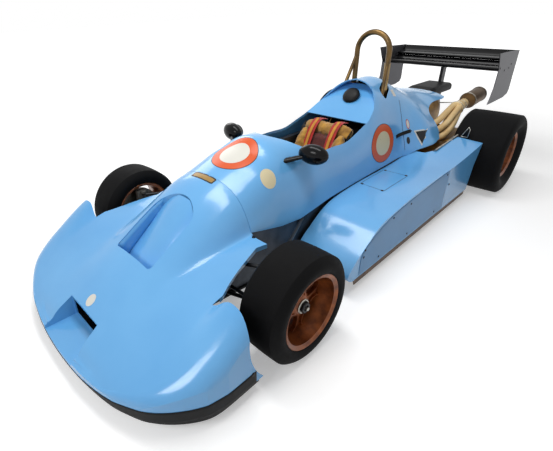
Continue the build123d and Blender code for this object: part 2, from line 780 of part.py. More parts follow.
front_rim = rim(front_rim_width, 30)
rear_rim = rim(rear_rim_width, 60)
front_tyre = tyre(front_tyre_radius, front_tyre_width, front_rim_width, front_rim)
rear_tyre = tyre(rear_tyre_radius, rear_tyre_width, rear_rim_width, rear_rim)
disc_x = -34                 # brake disc, inward of the front wheel centre
with BuildPart() as brake_disc:
    with BuildSketch(Plane.YZ.offset(disc_x - 8)):
        Circle(128)
        Circle(47, mode=Mode.SUBTRACT)
    extrude(amount=16)
driveshaft_radius = 17
shaft_inner_x = gearbox_half_width + 32
with BuildPart() as driveshaft:
    reach = rear_track / 2 + 60 - 80 - shaft_inner_x
    with BuildSketch(Plane.YZ.offset(-rear_track / 2 + shaft_inner_x)):
        Circle(driveshaft_radius)
    extrude(amount=reach)
    with BuildSketch(Plane.YZ.offset(-rear_track / 2 + shaft_inner_x)):
        Circle(44)
    extrude(amount=50)

for name, side in [("left", 1), ("right", -1)]:
    front_centre = (side * front_track / 2, front_axle_y, front_tyre_radius)
    rear_centre = (side * rear_track / 2, rear_axle_y, rear_tyre_radius)
    save(f"rim_front_{name}", at_axle(front_rim, *front_centre))
    save(f"tyre_front_{name}", at_axle(front_tyre, *front_centre))
    save(f"brake_disc_{name}", at_axle(brake_disc.part, *front_centre))
    save(f"rim_rear_{name}", at_axle(rear_rim, *rear_centre))
    save(f"tyre_rear_{name}", at_axle(rear_tyre, *rear_centre))
    save(f"driveshaft_{name}", at_axle(driveshaft.part, *rear_centre))

# ---------------------------------------------------------------- front suspension and steering
upper_z = front_tyre_radius + ball_joint_height
lower_z = front_tyre_radius - ball_joint_height
arm_z = front_tyre_radius - 20
ball_radius = 12
with BuildPart() as front_upright:
    with Locations((kingpin_x + 29, front_axle_y, front_tyre_radius)):
        Box(34, 70, 2 * ball_joint_height + 50)
    fillet(front_upright.edges().filter_by(Axis.X), radius=16)
    for height in (upper_z + ball_radius + 7, lower_z - ball_radius - 7):
        with Locations((kingpin_x, front_axle_y, height)):
            Cylinder(ball_radius + 3, 12)
        with Locations((kingpin_x + 10, front_axle_y, height)):
            Box(20, 2 * ball_radius, 12)
    with BuildSketch(Plane.YZ.offset(kingpin_x + 40)):
        with Locations((front_axle_y, front_tyre_radius)):
            Circle(stub_radius)
    extrude(amount=front_track / 2 + 30 - 24 - kingpin_x - 40)
    with Locations((kingpin_x + 4, front_axle_y - arm_length / 2 - 10, arm_z)):
        Box(20, arm_length + 20, 14)
for name, part in zip(("left", "right"), left_and_right(front_upright.part)):
    save(f"front_upright_{name}", part)

arm_radius = 10
bracket_y = -700
with BuildPart() as front_arms:
    for height, front_foot, rear_foot in [(upper_z, (225, -1330, 322), (312, bracket_y, 328)),
                                          (lower_z, (225, -1330, 140), (300, -830, 132))]:
        add(rod((kingpin_x, front_axle_y, height), front_foot, arm_radius))
        add(rod((kingpin_x, front_axle_y, height), rear_foot, arm_radius))
        with Locations((kingpin_x, front_axle_y, height)):
            Sphere(ball_radius)
    with Locations((313, bracket_y + 4, 320)):
        Box(15, 60, 44)
    add(monocoque_tub.part, mode=Mode.SUBTRACT)
front_wishbones = Part() + list(left_and_right(front_arms.part))
save("front_wishbones", front_wishbones)

rod_z = arm_z - 24
with BuildPart() as rack_rod:
    add(rod((kingpin_x + 4, front_axle_y - arm_length, rod_z), (210, -1318, rod_z), 9))
    with Locations((kingpin_x + 4, front_axle_y - arm_length, rod_z)):
        Sphere(12)
    add(monocoque_tub.part, mode=Mode.SUBTRACT)
track_rods = Part() + list(left_and_right(rack_rod.part))
save("track_rods", track_rods)

# ---------------------------------------------------------------- rear suspension
hub_x = rear_track / 2 - 120
with BuildPart() as rear_hub:
    with Locations((hub_x, rear_axle_y, rear_tyre_radius)):
        Box(50, 90, 2 * 118)
    fillet(rear_hub.edges().filter_by(Axis.X), radius=22)
    with Locations(Location((hub_x, rear_axle_y, rear_tyre_radius), (0, 90, 0))):
        Cylinder(30, 200, mode=Mode.SUBTRACT)
rear_uprights = Part() + list(left_and_right(rear_hub.part))
save("rear_uprights", rear_uprights)

with BuildPart() as rear_arms:
    for height, inner_z in [(rear_tyre_radius + 100, 400), (rear_tyre_radius - 100, 190)]:
        for offset, tail in [(-30, 1090), (30, 1420)]:
            add(rod((hub_x - 22, rear_axle_y + offset, height), (100, tail, inner_z), 12))
    add(rod((hub_x - 22, rear_axle_y - 34, rear_tyre_radius - 96), (300, 960, 170), 11))
    add(gearbox.part, mode=Mode.SUBTRACT)
    add(rear_uprights, mode=Mode.SUBTRACT)
rear_wishbones = Part() + list(left_and_right(rear_arms.part))
save("rear_wishbones", rear_wishbones)

# ---------------------------------------------------------------- rear wing
wing_half_span = 520
end_plate = 6
with BuildPart() as wing_main:
    with BuildSketch(Plane.YZ.offset(-wing_half_span + end_plate)):
        with BuildLine():
            upper = Spline((1600, 884), (1625, 899), (1740, 896), (1905, 914), tangents=((0, 1), (1, 0.2)))
            lower = Spline((1905, 914), (1740, 868), (1620, 866), (1600, 884), tangents=((-1, -0.4), (0, 1)))
        make_face()
    extrude(amount=2 * (wing_half_span - end_plate))
save("wing_main", wing_main.part)

with BuildPart() as wing_flap:
    with BuildSketch(Plane.YZ.offset(-wing_half_span + end_plate)):
        with BuildLine():
            upper = Spline((1892, 928), (1905, 938), (1980, 948), (2058, 992), tangents=((0, 1), (1, 0.8)))
            lower = Spline((2058, 992), (1985, 932), (1905, 920), (1892, 928), tangents=((-1, -0.9), (0, 1)))
        make_face()
    extrude(amount=2 * (wing_half_span - end_plate))
save("wing_flap", wing_flap.part)

with BuildPart() as wing_endplates:
    for x in (-wing_half_span, wing_half_span - end_plate):
        with BuildSketch(Plane.YZ.offset(x)):
            Polygon((1522, 1013), (1598, 880), (1590, 740), (1552, 650), (1522, 606), (1700, 602),
                    (1940, 600), (2040, 618), (tail_y, 650), (tail_y, 994), (1700, 1010), align=None)
        extrude(amount=end_plate)
save("wing_endplates", wing_endplates.part)

post_y = 1820
with BuildPart() as wing_post:
    with BuildSketch(Plane.YZ):
        Polygon((post_y - 35, 866), (post_y + 37, 880), (post_y + 30, 690), (post_y + 22, 400),
                (1640, 330), (1640, 405), (post_y - 45, 480), (post_y - 38, 690), align=None)
    extrude(amount=13, both=True)
    add(wing_main.part, mode=Mode.SUBTRACT)
save("wing_post", wing_post.part)

# ---------------------------------------------------------------- roll hoop and mirrors
hoop_radius = 19
hoop_y = 443
hoop_half = 124
hoop_top_z = 1256
bend_z = hoop_top_z - hoop_radius - hoop_half
with BuildPart() as roll_hoop:
    with BuildLine() as route:
        leg = Line((-hoop_half, hoop_y, tub_top_z), (-hoop_half, hoop_y, bend_z))
        crown = ThreePointArc(leg @ 1, (0, hoop_y, bend_z + hoop_half), (hoop_half, hoop_y, bend_z))
        Line(crown @ 1, (hoop_half, hoop_y, tub_top_z))
    with BuildSketch(Plane(origin=(-hoop_half, hoop_y, tub_top_z), z_dir=(0, 0, 1))):
        Circle(hoop_radius)
    sweep(path=route.line)
    for side in (-1, 1):
        add(rod((side * (hoop_half + 2), hoop_y - 4, 1075), (side * 195, hoop_y - 191, tub_top_z - 20), 13))
    split(bisect_by=Plane.XY.offset(tub_top_z))
save("roll_hoop", roll_hoop.part)

mirror_centre = (322, -646, 707)
egg = Location(mirror_centre, (0, 0, 12)) * scale(Sphere(1), by=(86, 48, 56))
with BuildPart() as mirror_pod:
    add(egg)
    with BuildSketch(Plane(origin=(190, -752, 664), z_dir=(1, 0.85, 0.34))):
        Ellipse(26, 15)
    extrude(amount=125, taper=2)
    add(body_solid, mode=Mode.SUBTRACT)
mirrors = Part() + list(left_and_right(mirror_pod.part))
save("mirrors", mirrors)

# ---------------------------------------------------------------- cockpit
with BuildPart() as seat:
    with BuildSketch(Plane.YZ):
        with BuildLine():
            Polyline((-700, 96), (-700, 135), (-380, 150), (-250, 200), (-20, 640), (12, 640), (12, 560),
                     (-190, 96), close=True)
        make_face()
    extrude(amount=195, both=True)
save("seat", seat.part)

with BuildPart() as harness:
    for x in (-95, 95):
        with BuildSketch(Plane.YZ.offset(x)):
            Polygon((-252.5, 203.5), (-22.5, 643.5), (-26.5, 643.5), (-256.5, 203.5), align=None)
        extrude(amount=25, both=True)
save("harness", harness.part)

with BuildPart() as headrest_pad:
    pad_plane = Plane(origin=(0, 219, 829), z_dir=(0, -172, 310))
    with BuildSketch(pad_plane):
        Circle(62)
    extrude(amount=30)
save("headrest_pad", headrest_pad.part)

with BuildPart() as dash_panel:
    with BuildSketch(cross(-735)):
        with Locations((0, 660)):
            Rectangle(600, 200)
    extrude(amount=-4)
    add(body_hollow, mode=Mode.INTERSECT)
    add(monocoque_tub.part, mode=Mode.SUBTRACT)
save("dash_panel", dash_panel.part)

wheel_lean = 20
with BuildPart() as steering_wheel:
    grip = Plane(origin=(0, -560, 585), z_dir=(0, math.cos(math.radians(wheel_lean)),
                                               math.sin(math.radians(wheel_lean))))
    with BuildSketch(grip):
        Circle(130)
        Circle(112, mode=Mode.SUBTRACT)
        Circle(34)
        for turn in (0, 120, 240):
            with Locations(Location((0, 0), turn - 90)):
                with Locations((60, 0)):
                    Rectangle(110, 24)
    extrude(amount=9, both=True)
    with BuildSketch(grip):
        Circle(11)
    extrude(amount=-118)
save("steering_wheel", steering_wheel.part)
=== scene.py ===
# %% [markdown]
# # A ground-effect formula car in gloss blue
# The shape of this car comes from a packed engineering model, which is loaded here as a fixed
# frame. Every piece made below rides on one of its bodies: the chassis, a wheel, a front upright
# or the steering column. Lengths are in metres, the nose points to -Y and the car's left is +X.

# %% Load the frame
import bpy
import bmesh
import math
from mathutils import Matrix, Vector, noise
from mathutils.bvhtree import BVHTree


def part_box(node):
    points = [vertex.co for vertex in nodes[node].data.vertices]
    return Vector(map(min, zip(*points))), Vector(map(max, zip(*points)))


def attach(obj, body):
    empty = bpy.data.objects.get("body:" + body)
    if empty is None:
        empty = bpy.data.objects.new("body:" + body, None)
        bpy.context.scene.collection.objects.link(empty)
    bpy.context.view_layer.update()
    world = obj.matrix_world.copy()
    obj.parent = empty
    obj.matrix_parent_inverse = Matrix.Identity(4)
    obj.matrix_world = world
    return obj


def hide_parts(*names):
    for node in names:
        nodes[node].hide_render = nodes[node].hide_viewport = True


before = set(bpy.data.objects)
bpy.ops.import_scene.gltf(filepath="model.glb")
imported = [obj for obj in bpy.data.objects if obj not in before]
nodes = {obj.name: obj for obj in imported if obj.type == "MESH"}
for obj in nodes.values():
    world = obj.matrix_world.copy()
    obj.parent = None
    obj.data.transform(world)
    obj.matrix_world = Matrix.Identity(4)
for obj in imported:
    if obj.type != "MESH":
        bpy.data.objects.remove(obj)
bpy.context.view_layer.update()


SIDES = ((1, "left"), (-1, "right"))


def middle(node):
    """The centre of a node's box."""
    low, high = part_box(node)
    return (Vector(low) + Vector(high)) / 2


def placed(name, data):
    """An object in the scene that holds the data."""
    made = bpy.data.objects.new(name, data)
    bpy.context.scene.collection.objects.link(made)
    return made


def applied(thing):
    """The object's shape as a plain mesh, with its modifiers applied."""
    return bpy.data.meshes.new_from_object(thing.evaluated_get(bpy.context.evaluated_depsgraph_get()))


# %% [markdown]
# ## Camera
# The car is seen from its front left, a little above head height. The lens is a moderate wide
# angle, so the near front wheel looks large beside the rear one. The frame is shifted slightly,
# because the car doesn't sit in the middle of it.

# %% Camera
EYE = Vector((1.5115, -2.3142, 1.4635))
YAW, PITCH, ROLL = 0.8396, 0.4762, -0.0374
LENS, SHIFT_X, SHIFT_Y = 25.46, 0.0792, -0.0412

forward = Vector((-math.sin(YAW) * math.cos(PITCH), math.cos(YAW) * math.cos(PITCH), -math.sin(PITCH)))
level = Vector((math.cos(YAW), math.sin(YAW), 0))
upright = level.cross(forward)
right = math.cos(ROLL) * level + math.sin(ROLL) * upright
up = math.cos(ROLL) * upright - math.sin(ROLL) * level
camera_data = bpy.data.cameras.new("camera")
camera_data.sensor_width = 36
camera_data.lens = LENS
camera_data.shift_x = SHIFT_X
camera_data.shift_y = SHIFT_Y
camera = placed("camera", camera_data)
camera.matrix_world = Matrix((right, up, -forward)).transposed().to_4x4()
camera.location = EYE
bpy.context.scene.camera = camera
print("camera at", tuple(round(v, 2) for v in EYE))

# %% [markdown]
# ## Two helpers for materials
# Paint charts and screens give colours as sRGB, while Blender's sockets want linear light, so
# one function turns a hex value to linear. The other adds a node with its settings and its links.

# %% Colour and node helpers
def linear(hex_colour):
    """An sRGB hex colour as linear red, green, blue and alpha."""
    values = [int(hex_colour[i:i + 2], 16) / 255 for i in (1, 3, 5)]
    return [v / 12.92 if v <= 0.04045 else ((v + 0.055) / 1.055) ** 2.4 for v in values] + [1.0]


def add_node(tree, kind, settings=(), links=()):
    """One node: its own properties and socket values, then what feeds its sockets."""
    made = tree.nodes.new(kind)
    for name, value in dict(settings).items():
        if isinstance(name, str) and hasattr(made, name):
            setattr(made, name, value)
        else:
            made.inputs[name].default_value = value
    for name, source in dict(links).items():
        tree.links.new(source, made.inputs[name])
    return made


def new_material(name, colour, roughness, metallic=0.0, ior=1.5, coat=0.0):
    """A material with its shader set, and where a point lies on the object."""
    material = bpy.data.materials.new(name)
    material.use_nodes = True
    tree = material.node_tree
    shader = tree.nodes["Principled BSDF"]
    shader.inputs["Base Color"].default_value = linear(colour)
    shader.inputs["Roughness"].default_value = roughness
    shader.inputs["Metallic"].default_value = metallic
    shader.inputs["IOR"].default_value = ior
    shader.inputs["Coat Weight"].default_value = coat
    shader.inputs["Coat Roughness"].default_value = 0.04
    place = add_node(tree, "ShaderNodeTexCoord").outputs["Object"]
    return material, tree, shader, place


def mottle(tree, shader, place, shades, scale, detail=4.0):
    """The base colour drifts between shades in soft patches; scale is patches to the metre."""
    patches = add_node(tree, "ShaderNodeTexNoise", {"Scale": scale, "Detail": detail}, {"Vector": place})
    ramp = add_node(tree, "ShaderNodeValToRGB", (), {"Fac": patches.outputs["Fac"]})
    ramp.color_ramp.elements[0].position = 0.32
    ramp.color_ramp.elements[1].position = 0.68
    for element, shade in zip(ramp.color_ramp.elements, shades):
        element.color = linear(shade)
    tree.links.new(ramp.outputs["Color"], shader.inputs["Base Color"])
    return patches


def uneven_gloss(tree, shader, pattern, low, high):
    """Roughness runs from low to high with a noise, as dust and handling leave it."""
    spread = add_node(tree, "ShaderNodeMapRange", {"To Min": low, "To Max": high},
                      {"Value": pattern.outputs["Fac"]})
    tree.links.new(spread.outputs["Result"], shader.inputs["Roughness"])


def relief(tree, shader, height, depth, strength=1.0):
    """A bump of the given depth in metres."""
    bump = add_node(tree, "ShaderNodeBump", {"Strength": strength, "Distance": depth},
                    {"Height": height})
    tree.links.new(bump.outputs["Normal"], shader.inputs["Normal"])


def surfaced(name, colour, roughness, metallic=0.0, *, shades, scale, detail=4.0, gloss=None, bump=None,
             specular=None, ior=1.5, coat=0.0):
    """A mottled material, with an uneven gloss and a relief of the same pattern if they are given."""
    material, tree, shader, place = new_material(name, colour, roughness, metallic, ior, coat)
    pattern = mottle(tree, shader, place, shades, scale, detail)
    if gloss:
        uneven_gloss(tree, shader, pattern, *gloss)
    if bump:
        relief(tree, shader, pattern.outputs["Fac"], *bump)
    if specular is not None:
        shader.inputs["Specular IOR Level"].default_value = specular
    return material


print("helpers ready")

# %% [markdown]
# ## Bodywork paint
# The body is glass fibre, laid up in moulds and sprayed with a light blue two-pack enamel. Polish
# leaves it glossy, with a faint orange peel a few millimetres across that ripples reflections.
# A clear coat on the shader gives the sharp highlights, and broad soft patches stand for the
# slight fading of old paint.

# %% Blue enamel
blue_enamel, tree, shader, place = new_material("enamel_light_blue", "#62A8DF", 0.2, coat=0.25)
patches = mottle(tree, shader, place, ("#5CA3DC", "#6AAEE3"), 2.2)
uneven_gloss(tree, shader, patches, 0.14, 0.24)
shader.inputs["Specular IOR Level"].default_value = 0.4
peel = add_node(tree, "ShaderNodeTexNoise", {"Scale": 210.0, "Detail": 2.0}, {"Vector": place})
relief(tree, shader, peel.outputs["Fac"], 0.00012, 0.35)
print(blue_enamel.name)

# %% [markdown]
# ## Black finishes
# The wing and the mirrors are gloss black, with faint dust. The airbox, the floor and the dash are
# matt black moulded plastic, which shows a fine grain.

# %% Black paint and plastic
black_gloss = surfaced("lacquer_black", "#050506", 0.1, shades=("#050506", "#0B0B0D"), scale=14.0,
                       gloss=(0.07, 0.2), specular=0.14, coat=0.02)
black_plastic = surfaced("moulded_plastic_black", "#121213", 0.5, shades=("#060607", "#0D0D0E"), scale=60.0,
                         gloss=(0.38, 0.62), bump=(0.0003, 0.5), specular=0.16, ior=1.46)
print(black_gloss.name, black_plastic.name)

# %% [markdown]
# ## Rubber and wheels
# Slick tyres are soft carbon-black rubber. The tread picks up grit and goes slightly grey in soft
# patches. The wheels are cast magnesium with a bronze-gold chromate paint that drifts in soft
# patches; its darker shade is painted shade, taken from the shaded insides of the rims.

# %% Rubber and wheel paint
tyre_rubber = surfaced("rubber_slick", "#060607", 0.7, shades=("#040405", "#0B0B0C"), scale=34.0, detail=8.0,
                       gloss=(0.6, 0.9), bump=(0.0006, 0.6), specular=0.12, ior=1.45)
# The wheel paint's dark end is painted shade for the rims' shaded insides.
wheel_paint_and_shade = surfaced("chromate_bronze_and_painted_shade", "#8E4C1E", 0.34, 0.45, shades=("#5C2C10", "#935022"),
                       scale=22.0, gloss=(0.26, 0.5), bump=(0.0003, 0.4), coat=0.12)
print(tyre_rubber.name, wheel_paint_and_shade.name)

# %% [markdown]
# ## Bare metals
# Sheet aluminium is rolled, so its fine scratches run one way; here they are drawn a millimetre
# or two wide, far coarser than real, or they wouldn't show. Cast housings have the sandy skin of
# their mould. Small fittings are zinc-plated steel, and the suspension's rods are blackened.

# %% Metals
rolled_alloy, tree, shader, place = new_material("aluminium_rolled", "#B4B6B8", 0.34, 1.0)
stretch = add_node(tree, "ShaderNodeMapping", {"Scale": (40.0, 3.0, 260.0)}, {"Vector": place})
scratches = add_node(tree, "ShaderNodeTexNoise", {"Scale": 1.6, "Detail": 6.0},
                     {"Vector": stretch.outputs["Vector"]})
uneven_gloss(tree, shader, scratches, 0.22, 0.5)
relief(tree, shader, scratches.outputs["Fac"], 0.0002, 0.3)
endplate_alloy = surfaced("aluminium_weathered", "#4E4E52", 0.46, 0.85, shades=("#48484C", "#56565A"),
                          scale=4.0, detail=3.0, gloss=(0.4, 0.55))
# The tub's sheet is drawn a dark grey.
tub_alloy = surfaced("aluminium_dark_grey", "#3C4046", 0.42, 0.8, shades=("#33373D", "#494E55"),
                     scale=12.0, detail=6.0, gloss=(0.3, 0.55))
cast_alloy = surfaced("magnesium_cast", "#6C6B67", 0.6, 0.7, shades=("#605F5B", "#787671"), scale=90.0,
                      detail=3.0, bump=(0.0005, 0.5))
plated_steel = surfaced("steel_zinc_plated", "#A5A39C", 0.3, 1.0, shades=("#8F8D85", "#B9B7AF"), scale=40.0,
                        gloss=(0.22, 0.42))
dark_steel = surfaced("steel_black_oxide", "#1D1E20", 0.4, 0.6, shades=("#141517", "#2A2B2E"), scale=36.0,
                      gloss=(0.3, 0.55))
print("six metals")

# %% [markdown]
# ## Exhaust, hoop and heat shields
# The exhaust pipes are brushed with a cream heatproof paint that has browned in patches. The
# silencer is bare steel, tinted by heat. The roll hoop is a bronze-painted steel tube whose tone
# drifts in soft patches between a dark and a lighter bronze. The heat shields are thin anodised sheet, gold
# and soft.

# %% Hot parts
pipe_paint = surfaced("heatproof_paint_cream", "#D8BC8A", 0.55, shades=("#CDAA72", "#E2C896"), scale=9.0,
                      detail=3.0, bump=(0.0004, 0.3))
can_steel = surfaced("steel_heat_tinted", "#5A4329", 0.42, 0.8, shades=("#4A3520", "#6D5231"), scale=6.0,
                     detail=5.0, gloss=(0.32, 0.6))
hoop_paint = surfaced("paint_bronze_mottled", "#54401F", 0.3, 0.7, shades=("#3A2B13", "#75592C"), scale=9.0,
                      detail=3.0, gloss=(0.2, 0.45), coat=0.15)
shield_sheet = surfaced("aluminium_gold_anodised", "#8A6A3A", 0.42, 0.75, shades=("#6A4E28", "#A5834A"),
                        scale=11.0, detail=6.0, bump=(0.002, 0.5))
skirt_strip = surfaced("skirt_phenolic_brown", "#4B3524", 0.6, shades=("#3A281B", "#5E4631"), scale=18.0,
                       detail=6.0, bump=(0.0006, 0.5))
print("hot parts and skirts")

# %% [markdown]
# ## Cloth and webbing
# The seat is trimmed in a golden cotton twill and a dark red knitted mesh, the belts are woven
# polyester webbing, and the belt pads are plain yellow. Real threads are about 0.6 mm apart;
# here the weave is drawn at 3 mm so that it can be seen at all.

# %% Cloth
def woven(name, shades, roughness, pitch, sheen):
    """Cloth with a weave of crossing threads, pitch apart in metres."""
    cloth, tree, shader, place = new_material(name, shades[0], roughness)
    shader.inputs["Sheen Weight"].default_value = sheen
    mottle(tree, shader, place, shades, 26.0, 6.0)
    threads = []
    for direction in ("X", "Z"):
        wave = add_node(tree, "ShaderNodeTexWave",
                        {"bands_direction": direction, "Scale": 0.314 / pitch, "Distortion": 1.2},
                        {"Vector": place})
        threads.append(wave.outputs["Fac"])
    crossed = add_node(tree, "ShaderNodeMath", {"operation": "MULTIPLY"},
                       {0: threads[0], 1: threads[1]})
    relief(tree, shader, crossed.outputs["Value"], pitch / 4, 0.7)
    return cloth


seat_cloth = woven("cotton_twill_gold", ("#8A6120", "#BC8B36"), 0.85, 0.004, 0.4)
mesh_cloth = woven("knitted_mesh_red", ("#3A0D0A", "#5C1B12"), 0.9, 0.005, 0.3)
belt_web = woven("webbing_red", ("#8E0F0A", "#B5180F"), 0.7, 0.003, 0.2)
pad_cloth = woven("pad_cloth_yellow", ("#B8761A", "#CE9028"), 0.8, 0.003, 0.3)
vinyl, tree, shader, place = new_material("vinyl_black", "#070708", 0.42)
shader.inputs["Specular IOR Level"].default_value = 0.18
creases = add_node(tree, "ShaderNodeTexVoronoi", {"Scale": 320.0}, {"Vector": place})
relief(tree, shader, creases.outputs["Distance"], 0.0005, 0.5)
film = mottle(tree, shader, place, ("#060607", "#0C0C0D"), 30.0)
uneven_gloss(tree, shader, film, 0.34, 0.55)
print("four cloths and a vinyl")

# %% [markdown]
# ## Paint the frame
# A node whose shape is right keeps its mesh and only takes a better material.

# %% Materials for the nodes
finish = {
    blue_enamel: ["nose_panel", "cockpit_cowl", "engine_cover", "side_pod_left", "side_pod_right",
                  "duct_ramp"],
    black_gloss: ["mirrors", "wing_main", "wing_flap", "nose_splitter"],
    black_plastic: ["airbox", "undertray", "dash_panel"],
    tyre_rubber: ["tyre_front_left", "tyre_front_right", "tyre_rear_left", "tyre_rear_right"],
    tub_alloy: ["monocoque_tub"],
    dark_steel: ["front_wishbones", "track_rods", "rear_wishbones", "wing_post", "driveshaft_left",
                 "driveshaft_right"],
    cast_alloy: ["engine_block", "gearbox", "rear_uprights", "front_upright_left",
                 "front_upright_right"],
    rolled_alloy: ["nose_radiator"],
    plated_steel: ["brake_disc_left", "brake_disc_right"],
    endplate_alloy: ["wing_endplates"],
    skirt_strip: ["pod_skirts"],
    can_steel: ["silencer"],
    hoop_paint: ["roll_hoop"],
}
for material, names in finish.items():
    for name in names:
        nodes[name].data.materials.clear()
        nodes[name].data.materials.append(material)
print(sum(len(names) for names in finish.values()), "nodes keep their mesh")

# %% [markdown]
# ## Mesh helpers
# A new piece is a mesh whose points are already in the car's place. A lathe turns a profile round
# a wheel's axle, and a skin tree finds the bodywork's surface so that marks can lie on it.

# %% Mesh helpers
def new_piece(name, points, faces, material, body="root", smooth=True):
    """A mesh object in place on the car, riding on a body."""
    mesh = bpy.data.meshes.new(name)
    mesh.from_pydata([tuple(p) for p in points], [], faces)
    mesh.validate()
    mesh.polygons.foreach_set("use_smooth", [smooth] * len(mesh.polygons))
    mesh.materials.append(material)
    piece = placed(name, mesh)
    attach(piece, body)
    return piece


def outwards(piece):
    """Faces turned to point out of the closed shape."""
    work = bmesh.new()
    work.from_mesh(piece.data)
    bmesh.ops.remove_doubles(work, verts=work.verts, dist=0.00001)
    bmesh.ops.recalc_face_normals(work, faces=work.faces)
    work.to_mesh(piece.data)
    work.free()
    return piece


def sharp_edges(piece, degrees=30):
    """Shading breaks where faces meet at more than the angle."""
    piece.data.set_sharp_from_angle(angle=math.radians(degrees))
    return piece


def lathe(name, profile, centre, material, body, side=1, steps=96):
    """A profile of (reach along the axle, radius) turned round the X axis through a centre."""
    points, faces = [], []
    count = len(profile)
    for k in range(steps):
        angle = 2 * math.pi * k / steps
        for reach, radius in profile:
            points.append(centre + Vector((side * reach, radius * math.cos(angle), radius * math.sin(angle))))
    for k in range(steps):
        for i in range(count):
            j = (i + 1) % count
            a, b = k * count, (k + 1) % steps * count
            faces.append((a + i, a + j, b + j, b + i))
    return sharp_edges(outwards(new_piece(name, points, faces, material, body)), 35)


def tube(name, points, radius, material, body="root", closed=False, smooth_run=True):
    """A round bar along the points, with its ends closed."""
    curve = bpy.data.curves.new(name, "CURVE")
    curve.dimensions = "3D"
    curve.bevel_depth = radius
    curve.bevel_resolution = 3
    curve.use_fill_caps = True
    run = curve.splines.new("NURBS" if smooth_run else "POLY")
    run.points.add(len(points) - 1)
    for spot, point in zip(run.points, points):
        spot.co = (*point, 1)
    run.use_cyclic_u = closed
    if smooth_run:
        run.order_u = 3
        run.use_endpoint_u = not closed
    holder = placed(name + "_run", curve)
    mesh = applied(holder)
    bpy.data.objects.remove(holder)
    mesh.materials.clear()
    mesh.materials.append(material)
    mesh.polygons.foreach_set("use_smooth", [True] * len(mesh.polygons))
    piece = placed(name, mesh)
    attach(piece, body)
    return sharp_edges(outwards(piece), 50)


def oval_run(centre, u, v, count=24):
    """Points round an oval with the half axes u and v."""
    angles = [2 * math.pi * k / count for k in range(count)]
    return [centre + math.cos(angle) * u + math.sin(angle) * v for angle in angles]


def skinned(sections, corners):
    """Faces round closed sections of so many corners each, with both ends closed."""
    faces = []
    for s in range(sections - 1):
        for k in range(corners):
            a, b = s * corners + k, s * corners + (k + 1) % corners
            faces.append((a, b, b + corners, a + corners))
    last = (sections - 1) * corners
    return faces + [tuple(range(corners)), tuple(last + k for k in range(corners))]


def grid_faces(rows, columns):
    """Faces between the neighbouring points of a grid that is stored row by row."""
    return [(i * columns + k, i * columns + k + 1, (i + 1) * columns + k + 1, (i + 1) * columns + k)
            for i in range(rows - 1) for k in range(columns - 1)]


def thicken(piece, thickness, offset=0):
    """Give a sheet its thickness, about its middle or to one side."""
    wall = piece.modifiers.new("wall", "SOLIDIFY")
    wall.thickness = thickness
    wall.offset = offset
    return piece


def surface(*names):
    """A search tree over the nodes' faces."""
    points, faces = [], []
    for name in names:
        start = len(points)
        points += [v.co.copy() for v in nodes[name].data.vertices]
        faces += [[start + i for i in p.vertices] for p in nodes[name].data.polygons]
    return BVHTree.FromPolygons(points, faces)


body_skin = surface("nose_panel", "cockpit_cowl", "engine_cover", "side_pod_left", "side_pod_right")


def land(point, direction, lift, skin=body_skin):
    """Where a line through the point first meets the skin from outside, raised a little off it."""
    heading = Vector(direction).normalized()
    spot, normal, _, _ = skin.ray_cast(Vector(point) - heading * 0.6, heading)
    if spot is None:
        return None, None
    if normal.dot(heading) > 0:
        normal = -normal
    return spot + normal * lift, normal


print("mesh helpers ready")

# %% [markdown]
# ## Geometry Nodes that repeat a shape
# Spokes and screws repeat. One tree turns copies of a blank about an axle;
# the other sets a copy on every point of a mesh and turns it to face along a stored direction.
# Both end in Realize Instances and Set Material, and the result is applied to a plain mesh.

# %% Repeat trees
def start_tree(name, sockets):
    """A node group with its named inputs, and what identifies each of them."""
    tree = bpy.data.node_groups.new(name, "GeometryNodeTree")
    tree.interface.new_socket("Geometry", in_out="INPUT", socket_type="NodeSocketGeometry")
    names = {}
    for label, kind in sockets:
        names[label] = tree.interface.new_socket(label, in_out="INPUT", socket_type=kind).identifier
    tree.interface.new_socket("Geometry", in_out="OUTPUT", socket_type="NodeSocketGeometry")
    return tree, names, add_node(tree, "NodeGroupInput"), add_node(tree, "NodeGroupOutput")


def close_tree(tree, outlet, instances, material):
    """Instances become real faces in one material, and leave the tree."""
    real = add_node(tree, "GeometryNodeRealizeInstances", (), {"Geometry": instances})
    painted = add_node(tree, "GeometryNodeSetMaterial", (), {"Geometry": real.outputs["Geometry"],
                                                             "Material": material})
    tree.links.new(painted.outputs["Geometry"], outlet.inputs["Geometry"])


def run_tree(blank, tree, names, values, body):
    """The blank with the tree applied, as a plain mesh that rides on a body."""
    step = blank.modifiers.new(tree.name, "NODES")
    step.node_group = tree
    for label, value in values.items():
        step[names[label]] = value
    blank.update_tag()
    result = applied(blank)
    blank.modifiers.remove(step)
    blank.data = result
    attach(blank, body)
    return blank


turned, turned_names, inlet, outlet = start_tree("copies_round_axle", [
    ("Count", "NodeSocketInt"), ("Centre", "NodeSocketVector"), ("Material", "NodeSocketMaterial")])
spots = add_node(turned, "GeometryNodePoints", (), {"Count": inlet.outputs["Count"],
                                                    "Position": inlet.outputs["Centre"]})
index = add_node(turned, "GeometryNodeInputIndex")
part_turn = add_node(turned, "ShaderNodeMath", {"operation": "DIVIDE"},
                     {0: index.outputs["Index"], 1: inlet.outputs["Count"]})
turn = add_node(turned, "ShaderNodeMath", {"operation": "MULTIPLY", 1: 2 * math.pi},
                {0: part_turn.outputs["Value"]})
spin = add_node(turned, "ShaderNodeCombineXYZ", (), {"X": turn.outputs["Value"]})
copies = add_node(turned, "GeometryNodeInstanceOnPoints", (), {
    "Points": spots.outputs["Points"], "Instance": inlet.outputs["Geometry"],
    "Rotation": spin.outputs["Vector"]})
close_tree(turned, outlet, copies.outputs["Instances"], inlet.outputs["Material"])

